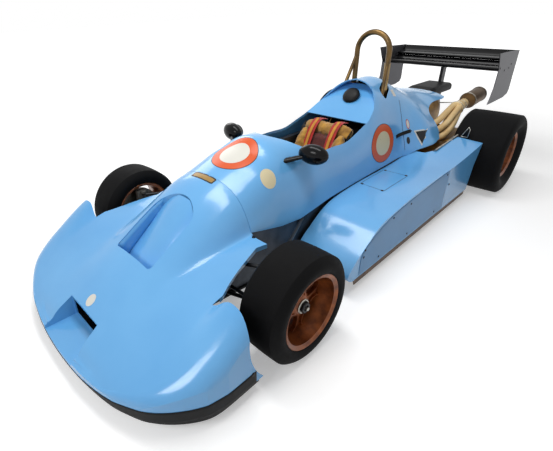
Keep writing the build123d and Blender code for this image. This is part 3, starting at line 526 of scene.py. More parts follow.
studs, stud_names, inlet, outlet = start_tree("heads_on_points", [
    ("Radius", "NodeSocketFloat"), ("Height", "NodeSocketFloat"), ("Material", "NodeSocketMaterial")])
ball = add_node(studs, "GeometryNodeMeshUVSphere", {"Segments": 12, "Rings": 7, "Radius": 1.0})
flat = add_node(studs, "ShaderNodeCombineXYZ", (), {
    "X": inlet.outputs["Radius"], "Y": inlet.outputs["Radius"], "Z": inlet.outputs["Height"]})
squashed = add_node(studs, "GeometryNodeTransform", (), {"Geometry": ball.outputs["Mesh"],
                                                        "Scale": flat.outputs["Vector"]})
rounded = add_node(studs, "GeometryNodeSetShadeSmooth", (),
                   {"Geometry": squashed.outputs["Geometry"]})
facing = add_node(studs, "GeometryNodeInputNamedAttribute", {"data_type": "FLOAT_VECTOR",
                                                             "Name": "facing"})
aim = add_node(studs, "FunctionNodeAlignRotationToVector", {"axis": "Z"},
               {"Vector": facing.outputs["Attribute"]})
heads = add_node(studs, "GeometryNodeInstanceOnPoints", (), {
    "Points": inlet.outputs["Geometry"], "Instance": rounded.outputs["Geometry"],
    "Rotation": aim.outputs["Rotation"]})
close_tree(studs, outlet, heads.outputs["Instances"], inlet.outputs["Material"])
print(turned.name, studs.name)

# %% [markdown]
# ## Screws and rivets
# Glass-fibre panels are held by quarter-turn studs and domed screws. Each set is a handful of
# points on the skin, and the tree puts a domed head on each, square to the surface.

# %% Screw sets
def heads_at(name, spots, radius, height, material):
    """Domed heads on (point, direction) pairs."""
    seed = new_piece(name, [point for point, _ in spots], [], material)
    facing = seed.data.attributes.new("facing", "FLOAT_VECTOR", "POINT")
    for item, (_, direction) in zip(facing.data, spots):
        item.vector = direction
    return run_tree(seed, studs, stud_names,
                    {"Radius": radius, "Height": height, "Material": material}, "root")


def on_skin(points, direction, lift=0.0):
    """The points that land on the skin, with the skin's own direction at each."""
    landed = [land(point, direction, lift) for point in points]
    return [(spot, normal) for spot, normal in landed if spot is not None]


def both(points):
    """The points and their mirror images on the car's other side."""
    return list(points) + [(-x, y, z) for x, y, z in points]


tab_studs = on_skin(both([(0.352, -1.143, 0.42)]), (0, 0, -1))
fender_studs = on_skin([(0.75, -1.556, 0.135)], (-1, 0, 0)) + on_skin([(-0.75, -1.556, 0.135)], (1, 0, 0))
hatch = [(0.344, -0.134), (0.342, 0.172), (0.517, 0.166), (0.512, -0.143)]
hatch_studs = on_skin(both([(x + (0.012 if x < 0.4 else -0.012), y, 0.4) for x, y in hatch]), (0, 0, -1))
heads_at("nose_studs", tab_studs + fender_studs, 0.010, 0.004, black_gloss)
heads_at("hatch_studs", hatch_studs, 0.010, 0.0035, dark_steel)
side_spots = [(0.394, 0.366), (-0.121, 0.338), (-0.332, 0.325), (-0.619, 0.242), (-0.628, 0.200),
              (0.468, 0.270), (0.30, 0.118), (-0.10, 0.118), (-0.45, 0.118)]
POD_HALF_WIDTH = 0.68
pod_studs = [stud for side in (1, -1) for stud in
             on_skin([(side * POD_HALF_WIDTH, y, z) for y, z in side_spots], (-side, 0, 0), 0.003)]
heads_at("pod_side_studs", pod_studs, 0.007, 0.003, dark_steel)
endplate_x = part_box("wing_endplates")[1][0]
plate_spots = [(1.622, 0.888), (1.761, 0.856), (1.870, 0.865), (1.922, 0.891)]
plate_studs = [((side * endplate_x, y, z), (side, 0, 0)) for side in (1, -1) for y, z in plate_spots]
heads_at("endplate_studs", plate_studs, 0.010, 0.003, black_gloss)
print(len(pod_studs), "studs on the pods' sides,", len(plate_studs), "on the endplates")

# %% [markdown]
# ## Marks on the skin
# A mark is a thin sheet of rings that lands on the curved panel and stands a fraction of a
# millimetre off it. The car's discs and plates are left without lettering, in plain colours.

# %% Plain discs and plates
def sticker_material(name, colour):
    """Vinyl film: one colour, a little uneven where it has been handled."""
    film, tree, shader, place = new_material(name, colour, 0.3, coat=0.05)
    shader.inputs["Specular IOR Level"].default_value = 0.25
    handled = add_node(tree, "ShaderNodeTexNoise", {"Scale": 30.0, "Detail": 3.0}, {"Vector": place})
    uneven_gloss(tree, shader, handled, 0.22, 0.4)
    return film


film_white = sticker_material("vinyl_film_white", "#D6D4CB")
film_cream = sticker_material("vinyl_film_cream", "#D8CBA6")
film_black = sticker_material("vinyl_film_black", "#101014")
film_tan = sticker_material("vinyl_film_tan", "#9C7A3C")
film_red = sticker_material("vinyl_film_red", "#B43A2A")
film_orange = sticker_material("vinyl_film_orange", "#D4531C")


def round_outline(half_u, half_v, power=2.0, steps=48):
    """Points of an oval, or of a rounded rectangle when the power is higher."""
    outline = []
    for k in range(steps):
        c, s = math.cos(2 * math.pi * k / steps), math.sin(2 * math.pi * k / steps)
        outline.append((half_u * math.copysign(abs(c) ** (2 / power), c),
                        half_v * math.copysign(abs(s) ** (2 / power), s)))
    return outline


def sticker(name, outline, centre, u, v, direction, material, lift=0.0006, rings=7):
    """A sheet with the outline in the directions u and v, laid on the skin along a direction."""
    centre, u, v = Vector(centre), Vector(u), Vector(v)
    points, faces = [], []
    for r in range(rings + 1):
        for a, b in outline:
            target = centre + (u * a + v * b) * (1 - r / (rings + 0.5))
            spot, _ = land(target, direction, lift)
            points.append(spot if spot is not None else target)
    n = len(outline)
    for r in range(rings):
        for k in range(n):
            faces.append((r * n + k, r * n + (k + 1) % n, (r + 1) * n + (k + 1) % n, (r + 1) * n + k))
    faces.append(tuple(rings * n + k for k in range(n)))
    sheet = new_piece(name, points, faces, material)
    if sheet.data.polygons[0].normal.dot(Vector(direction)) > 0:
        sheet.data.flip_normals()
    return sheet


cowl_v = Vector((0, 1, 0.42)).normalized()
down = (0, 0, -1)
edge_lift, face_lift, middle_lift = 0.0006, 0.0012, 0.0018
for part, radius, film, lift in (("_edge", 0.138, film_black, edge_lift), ("", 0.134, film_orange, face_lift),
                                 ("_middle", 0.088, film_white, middle_lift)):
    sticker("cowl_disc" + part, round_outline(radius, radius), (0, -0.93, 0.72), (1, 0, 0), cowl_v, down,
            film, lift)
inward_down = Vector((-1, 0.25, -0.7)).normalized()
sticker("cowl_small_disc", round_outline(0.046, 0.056), (0.236, -0.912, 0.625), (0.35, 1, 0.1),
        (-0.5, 0.1, 0.85), inward_down, film_cream)
for part, half, film, lift in (("_edge", (0.088, 0.021), film_black, edge_lift),
                               ("", (0.080, 0.014), film_tan, face_lift)):
    sticker("nose_plate" + part, round_outline(*half, 8), (-0.014, -1.1475, 0.64), (1, 0, 0), (0, 1, 0.3),
            down, film, lift)
sticker("nose_small_disc", round_outline(0.026, 0.026), (0, -1.868, 0.25), (1, 0, 0), (0, 1, 0.5),
        down, film_white)
for side, name in SIDES:
    across = (-side, 0, 0)
    spot = (side * 0.30, 0.205, 0.548)
    triangle = [(-0.062, 0.040), (-0.02, 0.040), (0.02, 0.040), (0.066, 0.038), (0.022, -0.018),
                (-0.022, -0.076), (-0.042, -0.018)]
    small = [(0.78 * a, 0.78 * b) for a, b in triangle]
    place_at, oval_at = (side * 0.35, 0.668, 0.512), (side * 0.3, 0.557, 0.608)
    for label, outline, at, film, lift in (
            ("side_disc_edge_", round_outline(0.160, 0.130), spot, film_black, edge_lift),
            ("side_disc_", round_outline(0.156, 0.126), spot, film_orange, face_lift),
            ("side_disc_middle_", round_outline(0.100, 0.080), spot, film_cream, middle_lift),
            ("cover_triangle_edge_", triangle, place_at, film_white, edge_lift),
            ("cover_triangle_", small, place_at, film_black, face_lift),
            ("cover_oval_edge_", round_outline(0.018, 0.034), oval_at, film_red, edge_lift),
            ("cover_oval_", round_outline(0.013, 0.028), oval_at, film_white, face_lift),
            # The black oval called a hole is painted shade: flat black film where the cover has an opening.
            ("cover_hole_shade_", round_outline(0.016, 0.026), (side * 0.32, 0.541, 0.492), film_black, edge_lift)):
        sticker(label + name, outline, at, (0, 1, 0), (0, 0, 1), across, film, lift)
    sticker("crest_patch_" + name, round_outline(0.020, 0.028, 8), (side * 0.17, 0.493, 0.83),
            (0, 1, -0.2), (-0.3 * side, 0, 1), (-side, 0, -0.8), film_white)
print("discs and plates are plain")

# %% [markdown]
# ## Shut lines
# Two panels never meet without a gap, which shows as a dark line a couple of millimetres wide.
# The hatch on each side pod is cut out of the same moulding, so its line is a thin dark ribbon
# that follows the surface.

# %% Hatch lines
def ribbon(name, points, direction, width, material, lift=0.0005, closed=False, step=0.02):
    """A narrow strip on the skin along straight runs between the points."""
    spots = []
    runs = list(zip(points, points[1:] + points[:1])) if closed else list(zip(points, points[1:]))
    for start, end in runs:
        start, end = Vector(start), Vector(end)
        count = max(2, int((end - start).length / step))
        for k in range(count):
            spots.append(start.lerp(end, k / count))
    if not closed:
        spots.append(Vector(points[-1]))
    landed = [pair for pair in (land(spot, direction, lift) for spot in spots) if pair[0] is not None]
    edge_points, faces = [], []
    for k, (spot, normal) in enumerate(landed):
        ahead = landed[(k + 1) % len(landed)][0] if closed or k + 1 < len(landed) else spot
        behind = landed[k - 1][0] if closed or k > 0 else spot
        beside = (ahead - behind).cross(normal).normalized() * width / 2
        edge_points += [spot - beside, spot + beside]
    count = len(landed)
    for k in range(count if closed else count - 1):
        j = (k + 1) % count
        faces.append((2 * k, 2 * k + 1, 2 * j + 1, 2 * j))
    strip = new_piece(name, edge_points, faces, material)
    if strip.data.polygons[0].normal.dot(landed[0][1]) < 0:
        strip.data.flip_normals()
    return strip


for side, name in SIDES:
    ribbon("hatch_line_" + name, [(side * x, y, 0.42) for x, y in hatch], down, 0.003, film_black,
           closed=True)
    cover_joint = [(side * 0.33, 0.5015, 0.43), (side * 0.33, 0.5015, 0.49), (side * 0.31, 0.4965, 0.590),
                   (side * 0.24, 0.5115, 0.713), (side * 0.2, 0.5325, 0.777)]
    ribbon("cover_joint_" + name, cover_joint, Vector((-side, 0, -0.25)).normalized(), 0.0035, film_black)
print("shut lines follow the panels")

# %% [markdown]
# ## Side plates of the pods
# A flat sheet is screwed to each pod's side. It is painted a darker blue than the body, as painted
# shade for the pod's side, which the light hardly reaches; its front follows the falling top of the pod.

# %% Side plates
# The plate's blue is darker than the body's: painted shade.
plate_blue_shaded = surfaced("plate_blue_with_painted_shade", "#4F8CBF", 0.34, shades=("#4985B6", "#5590C2"), scale=5.0,
                       gloss=(0.28, 0.42), specular=0.25, coat=0.08)
plate_top = [(-0.655, 0.200), (-0.64, 0.225), (-0.60, 0.258), (-0.54, 0.286), (-0.46, 0.314),
             (-0.36, 0.338), (-0.24, 0.353), (-0.10, 0.362), (0.1, 0.369), (0.3, 0.378), (0.43, 0.386)]
plate_low, rows = 0.092, 6
for side, name in SIDES:
    points = []
    for y, top in plate_top:
        for k in range(rows + 1):
            height = plate_low + (top - plate_low) * k / rows
            spot, _ = land((side * POD_HALF_WIDTH, y, height), (-side, 0, 0), 0.0025)
            points.append(spot if spot is not None else Vector((side * 0.682, y, 0.1)))
    plate = new_piece("pod_side_plate_" + name, points, grid_faces(len(plate_top), rows + 1), plate_blue_shaded)
    if plate.data.polygons[0].normal.x * side < 0:
        plate.data.flip_normals()
    print(plate.name, len(plate.data.polygons), "faces")

# %% [markdown]
# ## Lip with painted shade, and duct walls of the nose
# A black band round the lower edge of the nose is partly a rubber lip and mainly painted shade, for
# the shadow between the nose and the floor; it widens towards the tyres as that shadow does. The
# walls of the air outlet close the space between the nose and the ramp below it. Both are sheets
# whose points are found on the panel itself, so that they follow it exactly.

# %% Lip with painted shade, and duct walls
lip_and_shade_black = surfaced("rubber_lip_and_painted_shade", "#080809", 0.6, shades=("#060607", "#0E0E0F"), scale=40.0,
                      gloss=(0.5, 0.7), specular=0.2)


def sheet_of(name, grid, material, outside=None):
    """A sheet through rows of points, 1.5 mm thick, with its front towards a direction if one is given."""
    piece = new_piece(name, [point for row in grid for point in row], grid_faces(len(grid), len(grid[0])),
                      material)
    if outside and piece.data.polygons[0].normal.dot(Vector(outside)) < 0:
        piece.data.flip_normals()
    return thicken(piece, 0.0015)


lip_centre = Vector((0, -1.50, 0))
lip_low, lip_and_shade_reach, lip_rows, lip_steps = 0.0758, 0.062, 5, 140
outside_nose = 0.8
grid = []
for k in range(lip_steps + 1):
    angle = math.radians(1.6 + 176.8 * k / lip_steps)
    ray = Vector((math.cos(angle), -math.sin(angle), 0))
    start = lip_centre + ray * outside_nose
    foot, _ = land(start + Vector((0, 0, lip_low)), -ray, 0.001)
    if foot is None:
        continue
    # Painted shade: the band grows from the nose's tip towards its sides, as the shadow under them does.
    widening = min(max((abs(foot.x) - 0.16) / 0.54, 0), 1)
    height = 0.002 + lip_and_shade_reach * widening ** 2 * (3 - 2 * widening)
    row = [land(start + Vector((0, 0, lip_low + height * j / lip_rows)), -ray, 0.001)[0]
           for j in range(lip_rows + 1)]
    if all(spot is not None for spot in row):
        grid.append(row)
sheet_of("nose_lip_and_shade", grid, lip_and_shade_black, (1, 0, 0))

ramp_edge = [(-1.618, 0.250), (-1.500, 0.352), (-1.390, 0.440), (-1.292, 0.538)]


def ramp_height(y):
    """The height of the ramp's edge at a station."""
    for (y0, z0), (y1, z1) in zip(ramp_edge, ramp_edge[1:]):
        if y <= y1:
            return z0 + (z1 - z0) * (y - y0) / (y1 - y0)
    return ramp_edge[-1][1]


for side, name in SIDES:
    grid = []
    for x, y in ((0.1515, -1.624), (0.1515, -1.58), (0.1515, -1.53), (0.1515, -1.48), (0.1515, -1.43),
                 (0.1505, -1.395), (0.145, -1.365), (0.132, -1.340)):
        top, _ = land((side * (x + 0.010), y, 0.6), down, -0.004)
        low = ramp_height(y) - 0.014
        grid.append([Vector((side * x, y, low + (top.z - low) * j / 3)) for j in range(4)])
    sheet_of("duct_wall_" + name, grid, blue_enamel, (-side, 0, 0))
print("lip of", lip_rows, "rows and two duct walls")

# %% [markdown]
# ## Wheels
# Each wheel is a deep magnesium casting. The rim is turned, so a lathe profile gives its flange,
# bead seat, well and dished barrel. Four spokes with raised ribs run from the hub to the barrel,
# and one Geometry Nodes tree turns the copies. A single hexagonal nut on a bright ring holds it.

# %% Rims, spokes and nuts
def rim_profile(half):
    """Half the wheel's width gives a closed profile: bead seats outside, dished barrel inside."""
    return [(-half, 0.180), (-half + 0.004, 0.184), (-half + 0.009, 0.183), (-half + 0.010, 0.169),
            (-half + 0.05, 0.166), (-half + 0.074, 0.154), (half - 0.074, 0.154), (half - 0.05, 0.166),
            (half - 0.010, 0.169), (half - 0.009, 0.183), (half - 0.004, 0.184), (half, 0.180),
            (half - 0.002, 0.174), (half - 0.008, 0.168), (half - 0.010, 0.162), (half - 0.056, 0.158),
            (half - 0.078, 0.147), (-half + 0.078, 0.147), (-half + 0.056, 0.158), (-half + 0.010, 0.162),
            (-half + 0.008, 0.168), (-half + 0.002, 0.174)]


def spoke_blank(name, face, side):
    """One ribbed spoke along +Z from the hub to the barrel, about the wheel's own centre."""
    stations = [(0.036, 0.030, 0.014), (0.060, 0.025, 0.010), (0.095, 0.021, 0.004),
                (0.125, 0.025, 0.000), (0.150, 0.040, -0.004)]
    rib, half_depth = 0.006, 0.010
    points = []
    for radius, half_width, rise in stations:
        high, web, low = face + rise, face + rise - 0.011, face + rise - 2 * half_depth
        section = [(low, -half_width), (high, -half_width), (high, -half_width + rib),
                   (web, -half_width + rib + 0.002), (web, half_width - rib - 0.002),
                   (high, half_width - rib), (high, half_width), (low, half_width)]
        points += [(side * x, y, math.sqrt(radius ** 2 - y ** 2)) for x, y in section]
    return sharp_edges(outwards(new_piece(name, points, skinned(len(stations), 8), wheel_paint_and_shade)), 40)


SPOKE_COUNT = 4
wheels = [("front_left", 1, 0.1075, 0.030), ("front_right", -1, 0.1075, 0.030),
          ("rear_left", 1, 0.155, 0.060), ("rear_right", -1, 0.155, 0.060)]
for name, side, half, face in wheels:
    body = "wheel_" + name
    centre = middle("tyre_" + name)
    barrel = lathe("rim_barrel_" + name, rim_profile(half), centre, wheel_paint_and_shade, body, side)
    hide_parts("rim_" + name)
    run_tree(spoke_blank("rim_spokes_" + name, face, side), turned, turned_names,
             {"Count": SPOKE_COUNT, "Centre": tuple(centre), "Material": wheel_paint_and_shade}, body)
    hub = [(face - 0.09, 0.021), (face - 0.09, 0.046), (face - 0.022, 0.046), (face - 0.016, 0.06),
           (face + 0.004, 0.058), (face + 0.012, 0.046), (face + 0.016, 0.040), (face + 0.016, 0.021)]
    lathe("rim_hub_" + name, hub, centre, wheel_paint_and_shade, body, side, 64)
    ring = [(face + 0.016, 0.022), (face + 0.016, 0.034), (face + 0.021, 0.036), (face + 0.024, 0.033),
            (face + 0.024, 0.022)]
    lathe("nut_ring_" + name, ring, centre, plated_steel, body, side, 64)
    nut = [(face + 0.018, 0.001), (face + 0.018, 0.029), (face + 0.034, 0.029), (face + 0.038, 0.025),
           (face + 0.038, 0.016), (face + 0.032, 0.014), (face + 0.032, 0.001)]
    sharp_edges(lathe("wheel_nut_" + name, nut, centre, dark_steel, body, side, 6), 10)
    pin = [(face + 0.030, 0.0005), (face + 0.030, 0.009), (face + 0.046, 0.009), (face + 0.048, 0.007),
           (face + 0.048, 0.0005)]
    lathe("stub_end_" + name, pin, centre, plated_steel, body, side, 24)
print("four wheels of", len(rim_profile(0.1)), "profile points")

# %% [markdown]
# ## Seat, belts and headrest
# The driver sits in a thin moulded shell trimmed with padded cloth: a dark red knitted back, and
# golden twill on its top roll and bolsters, which has slumped into soft folds. Each pad is blown
# up as cloth from a slightly small shape, with its movement capped so that it keeps its place.

# %% Padding helper
def pad_blank(name, centre, along, across, half, power, material):
    """A block with rounded corners: along, across and their normal are its own directions."""
    along, across = Vector(along).normalized(), Vector(across).normalized()
    normal = along.cross(across)
    work = bmesh.new()
    bmesh.ops.create_cube(work, size=2)
    bmesh.ops.subdivide_edges(work, edges=work.edges, cuts=9, use_grid_fill=True)
    for v in work.verts:
        a, b, c = v.co
        length = (abs(a) ** power + abs(b) ** power + abs(c) ** power) ** (1 / power)
        reach = max(abs(a), abs(b), abs(c)) / length
        v.co = Vector(centre) + along * a * reach * half[0] + across * b * reach * half[1] \
            + normal * c * reach * half[2]
    mesh = bpy.data.meshes.new(name)
    work.to_mesh(mesh)
    work.free()
    mesh.materials.append(material)
    return outwards(placed(name, mesh))


PAD_VOXEL, PAD_FILL, CLOTH_FRAMES, PAD_PRESSURE = 0.006, 0.6, 20, 4


def plump(piece, cap):
    """Blow the pad up as cloth, cap how far each point goes, and finish it smooth."""
    bpy.context.view_layer.objects.active = piece
    remesh = piece.modifiers.new("even", "REMESH")
    remesh.mode = "VOXEL"
    remesh.voxel_size = PAD_VOXEL
    even = applied(piece)
    piece.modifiers.clear()
    cover = piece.data.materials[0]
    piece.data = even
    piece.data.materials.clear()
    piece.data.materials.append(cover)
    before = [v.co.copy() for v in piece.data.vertices]
    cloth = piece.modifiers.new("cloth", "CLOTH")
    cloth.settings.use_pressure = True
    cloth.settings.uniform_pressure_force = PAD_PRESSURE
    cloth.settings.effector_weights.gravity = 0
    cloth.settings.quality = 5
    cloth.point_cache.frame_start, cloth.point_cache.frame_end = 1, CLOTH_FRAMES
    for step in range(1, CLOTH_FRAMES + 1):
        bpy.context.scene.frame_set(step)
    blown = piece.evaluated_get(bpy.context.evaluated_depsgraph_get()).data
    after = [v.co.copy() for v in blown.vertices]
    piece.modifiers.clear()
    bpy.context.scene.frame_set(1)
    for v, start, end in zip(piece.data.vertices, before, after):
        move = end - start
        v.co = start + move * min(1.0, cap / max(move.length, 1e-9))
    piece.data.polygons.foreach_set("use_smooth", [True] * len(piece.data.polygons))
    soften = piece.modifiers.new("soften", "SUBSURF")
    soften.levels = soften.render_levels = 1
    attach(piece, "root")
    return piece


def crumple(piece, depth, size):
    """Soft folds in slack cloth: points move along their normals with a fixed noise."""
    normals = [v.normal.copy() for v in piece.data.vertices]
    for v, normal in zip(piece.data.vertices, normals):
        fold = noise.noise(v.co / size) + 0.5 * noise.noise(v.co / size * 2.1)
        v.co += normal * depth * fold


print("pads will be simulated")

# %% Seat shell and its pads
seat_run = [(-0.690, 0.142), (-0.560, 0.146), (-0.420, 0.156), (-0.330, 0.172), (-0.270, 0.205),
            (-0.235, 0.262), (-0.190, 0.350), (-0.140, 0.445), (-0.090, 0.540), (-0.045, 0.622),
            (-0.018, 0.640)]
points = []
columns = 16
for i, (y, z) in enumerate(seat_run):
    before, after = seat_run[max(i - 1, 0)], seat_run[min(i + 1, len(seat_run) - 1)]
    slope = Vector((0, after[0] - before[0], after[1] - before[1])).normalized()
    rise = Vector((0, -slope.z, slope.y))
    for k in range(columns + 1):
        t = 2 * k / columns - 1
        points.append(Vector((0.190 * t, y, z)) + rise * 0.05 * abs(t) ** 6)
shell = thicken(new_piece("seat_shell", points, grid_faces(len(seat_run), columns + 1), vinyl), 0.004, -1)
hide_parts("seat")

slope = Vector((0, 0.212, 0.417)).normalized()
front = Vector((0, -0.417, 0.212)).normalized() * 0.5
plump(pad_blank("seat_back_pad", Vector((0, -0.150, 0.440)) + front * 0.03, slope, (1, 0, 0),
                (0.205, 0.112, 0.016), 5, mesh_cloth), 0.016)
plump(pad_blank("seat_squab", (0, -0.46, 0.176), (0, 1, -0.09), (1, 0, 0), (0.165, 0.135, 0.018), 5,
                mesh_cloth), 0.016)
for side, name in SIDES:
    bolster = plump(pad_blank("seat_bolster_" + name, Vector((side * 0.146, -0.158, 0.440)) + front * 0.08,
                              slope, (1, 0, 0), (0.212, 0.042, 0.036), 2.6, seat_cloth), 0.012)
    crumple(bolster, 0.008, 0.05)
top_roll = plump(pad_blank("seat_top_roll", (0, -0.042, 0.648), (1, 0, 0), slope, (0.188, 0.050, 0.032), 4,
                           seat_cloth), 0.012)
crumple(top_roll, 0.009, 0.05)
print("seat with five pads")

# %% [markdown]
# ## Harness
# Two red shoulder belts come from behind the headrest's foot, over the top roll and down to a
# plated buckle, with a yellow sleeve round each. The lap belts run to the floor on both sides.
# The shoulder belts are 58 mm wide and the others 45 mm, and all are 3 mm thick.

# %% Straps
def strap(name, run, width, thickness, material, side_axis=(1, 0, 0)):
    """A flat band through the points, width along the side axis, with rounded bends."""
    curve = bpy.data.curves.new(name, "CURVE")
    curve.dimensions = "3D"
    line = curve.splines.new("NURBS")
    line.points.add(len(run) - 1)
    for spot, point in zip(line.points, run):
        spot.co = (*point, 1)
    line.order_u = 3
    line.use_endpoint_u = True
    line.resolution_u = 8
    holder = placed(name + "_run", curve)
    path = [v.co.copy() for v in applied(holder).vertices]
    bpy.data.objects.remove(holder)
    points = []
    for k, spot in enumerate(path):
        ahead = (path[min(k + 1, len(path) - 1)] - path[max(k - 1, 0)]).normalized()
        across = (Vector(side_axis) - ahead * ahead.dot(Vector(side_axis))).normalized()
        normal = across.cross(ahead)
        for a, b in ((-1, -1), (-0.94, 1), (0.94, 1), (1, -1)):
            points.append(spot + across * a * width / 2 + normal * b * thickness / 2)
    return sharp_edges(outwards(new_piece(name, points, skinned(len(path), 4), material)), 50)


def above_back(x, s, lift):
    """A point on the seat back, s along it from its foot and lift off it."""
    return Vector((x, -0.235, 0.262)) + slope * s + front.normalized() * lift


for side, name in SIDES:
    x = side * 0.085
    run = [(x, 0.035, 0.694), (x, 0.005, 0.700), (x, -0.048, 0.710), (x, -0.098, 0.676),
           above_back(x, 0.33, 0.072), above_back(x, 0.2, 0.066), above_back(side * 0.06, 0.06, 0.058),
           (side * 0.03, -0.30, 0.262)]
    belt = strap("shoulder_belt_" + name, run, 0.058, 0.003, belt_web)
    if side == 1:
        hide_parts("harness")
    sleeve = [(x, -0.040, 0.7125), (x, -0.086, 0.690), above_back(x, 0.36, 0.080), above_back(x, 0.30, 0.076),
              above_back(x, 0.12, 0.070)]
    strap("belt_sleeve_" + name, sleeve, 0.020, 0.006, pad_cloth)
    lap = [(side * 0.028, -0.318, 0.252), (side * 0.09, -0.30, 0.232), (side * 0.145, -0.262, 0.215),
           (side * 0.176, -0.235, 0.19)]
    strap("lap_belt_" + name, lap, 0.045, 0.003, belt_web, (0, 0.5, 0.8))
buckle = pad_blank("buckle", (0, -0.318, 0.268), (0, 0.5, 0.87), (1, 0, 0), (0.034, 0.034, 0.011), 4,
                   plated_steel)
buckle.data.polygons.foreach_set("use_smooth", [True] * len(buckle.data.polygons))
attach(buckle, "root")
strap("crotch_belt", [(0, -0.345, 0.25), (0, -0.37, 0.215), (0, -0.40, 0.2)], 0.045, 0.003, belt_web)
print("harness with sleeves")

# %% [markdown]
# ## Headrest pad
# A round foam pad under black vinyl, glued to the sloping face of the cowl. It stands more upright
# than that face, to meet the helmet, so it is a wedge: its crown is turned from a profile, and its
# back is cut along the face.

# %% Headrest pad
face_normal = Vector((0, -0.182, 0.312)).normalized()
pad_normal = Matrix.Rotation(math.radians(16), 3, "X") @ face_normal
face_point = middle("headrest_pad") - face_normal * 0.014
pad_base = face_point + face_normal * 0.004
profile = [(0, 0.0), (0, 0.0585), (0.008, 0.061), (0.012, 0.0595), (0.014, 0.0575), (0.021, 0.053),
           (0.0265, 0.042), (0.029, 0.026), (0.030, 0.010), (0.0295, 0.0)]
turn = pad_normal.to_track_quat("Z", "Y").to_matrix()
points, faces = [], []
steps = 56
for k in range(steps):
    angle = 2 * math.pi * k / steps
    for height, radius in profile:
        point = pad_base + turn @ Vector((radius * math.cos(angle), radius * math.sin(angle), height))
        if height == 0:
            point -= pad_normal * (point - face_point).dot(face_normal) / pad_normal.dot(face_normal)
        points.append(point)
for k in range(steps):
    for i in range(len(profile) - 1):
        a, b = k * len(profile) + i, (k + 1) % steps * len(profile) + i
        faces.append((a, b, b + 1, a + 1))
head_pad = outwards(new_piece("headrest_cushion", points, faces, vinyl))
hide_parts("headrest_pad")
print("pad of", len(profile), "profile points")

# %% [markdown]
# ## Steering wheel
# A small three-spoked wheel: a rim in black vinyl, flat spokes in dark steel and a boss on the
# column. The rim is a tube on a circle, and the spokes are tapered plates.

# %% Steering wheel
lean = math.radians(20)
axle = Vector((0, math.cos(lean), math.sin(lean)))
wheel_centre = Vector((0, -0.56, 0.585))
wheel_up = Vector((0, -math.sin(lean), math.cos(lean)))
wheel_side = Vector((1, 0, 0))
grip_radius, spoke_total = 0.120, 3
circle = oval_run(wheel_centre, grip_radius * wheel_side, grip_radius * wheel_up)
grip = tube("steering_grip", circle, 0.0095, vinyl, "steering", closed=True)
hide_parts("steering_wheel")
for k in range(spoke_total):
    angle = 2 * math.pi * k / spoke_total - math.pi / 2
    ray = math.cos(angle) * wheel_side + math.sin(angle) * wheel_up
    beside = axle.cross(ray)
    points = []
    for reach, half in ((0.02, 0.014), (0.07, 0.010), (0.118, 0.012)):
        for a, b in ((-1, -1), (1, -1), (1, 1), (-1, 1)):
            points.append(wheel_centre + ray * reach + beside * half * a + axle * 0.002 * b)
    spoke = new_piece(f"steering_spoke_{k + 1}", points, skinned(3, 4), dark_steel, "steering")
    sharp_edges(outwards(spoke))
tube("steering_column", [wheel_centre - axle * 0.004, wheel_centre - axle * 0.11], 0.011, dark_steel,
     "steering", smooth_run=False)
tube("steering_boss", [wheel_centre - axle * 0.012, wheel_centre + axle * 0.008], 0.030, dark_steel,
     "steering", smooth_run=False)
print("steering wheel in six pieces")

# %% [markdown]
# ## Liner and sheet of painted shade behind the hoop's slots
# Behind the seat a black sheet closes the space under the roll hoop's slots, so that no daylight
# shows through them. Its black is painted shade, for the dark inside of the body.

# %% Shade liner and sheet
shade_liner = pad_blank("hoop_slot_shade_liner", (0, 0.375, 0.598), (0, 1, 0), (1, 0, 0), (0.115, 0.205, 0.003), 12,
                  black_plastic)
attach(shade_liner, "root")
# A second black sheet across the cover's inside, also painted shade.
shade_sheet_y, shade_sheet_levels = 0.512, 20
shade_sheet_foot, shade_sheet_rise = 0.60, 0.30
rows = []
for k in range(shade_sheet_levels + 1):
    height = shade_sheet_foot + shade_sheet_rise * k / shade_sheet_levels
    edge, _ = land((0.2, shade_sheet_y, height), (-1, 0, 0), -0.012)
    if edge is not None:
        rows.append([Vector((edge.x * side, shade_sheet_y, edge.z)) for side in (-1, -0.5, 0, 0.5, 1)])
points = [point + Vector((0, shift, 0)) for shift in (0, 0.003) for row in rows for point in row]
sheet_faces = grid_faces(len(rows), 5)
count = 5 * len(rows)
rim = [i * 5 + 4 for i in range(len(rows))] + [i * 5 for i in reversed(range(len(rows)))]
faces = sheet_faces + [tuple(count + j for j in face) for face in sheet_faces]
faces += [(a, b, b + count, a + count) for a, b in
          zip([0, 1, 2, 3] + rim[:len(rows) - 1] + [count - 1 - k for k in range(4)] + rim[len(rows):-1],
              [1, 2, 3, 4] + rim[1:len(rows)] + [count - 2 - k for k in range(4)] + rim[len(rows) + 1:])]
outwards(new_piece("hoop_slot_shade_sheet", points, faces, black_plastic, smooth=False))
print("liner and sheet behind the hoop's slots")

# %% [markdown]
# ## Mirror glass
# Each mirror is an egg-shaped black pod with a flat glass facing back to the driver. The glass is
# an oval plate that closes the pod's flat side, in a thin rubber bead.

# %% Mirror glass
silvered = surfaced("silvered_glass", "#C9CED2", 0.03, 1.0, shades=("#C2C8CC", "#D0D5D8"), scale=12.0,
                    gloss=(0.02, 0.08))
for side, name in SIDES:
    facing_back = Vector((side * -0.16, 1, 0.02)).normalized()
    out = Vector((side, 0.16, 0)).normalized()
    rise = facing_back.cross(out)
    pod = Vector((side * 0.322, -0.646, 0.707)) + facing_back * 0.040
    oval = oval_run(pod, out * 0.052, rise * 0.035, 40)
    glass = new_piece("mirror_glass_" + name, [p + facing_back * d for d in (0.0, 0.006) for p in oval],
                      skinned(2, len(oval)), silvered)
    sharp_edges(outwards(glass))
    tube("mirror_bead_" + name, [p + facing_back * 0.004 for p in oval], 0.0028, black_plastic, closed=True)
print("two mirror glasses")

# %% [markdown]
# ## Latch, exhaust clips and heat shields
# A rubber strap latches the engine cover to the cowl. Sprung clips hold the pipes together ahead
# of the collector, and thin gold heat shields line the cover's notch and lie under the pipes.

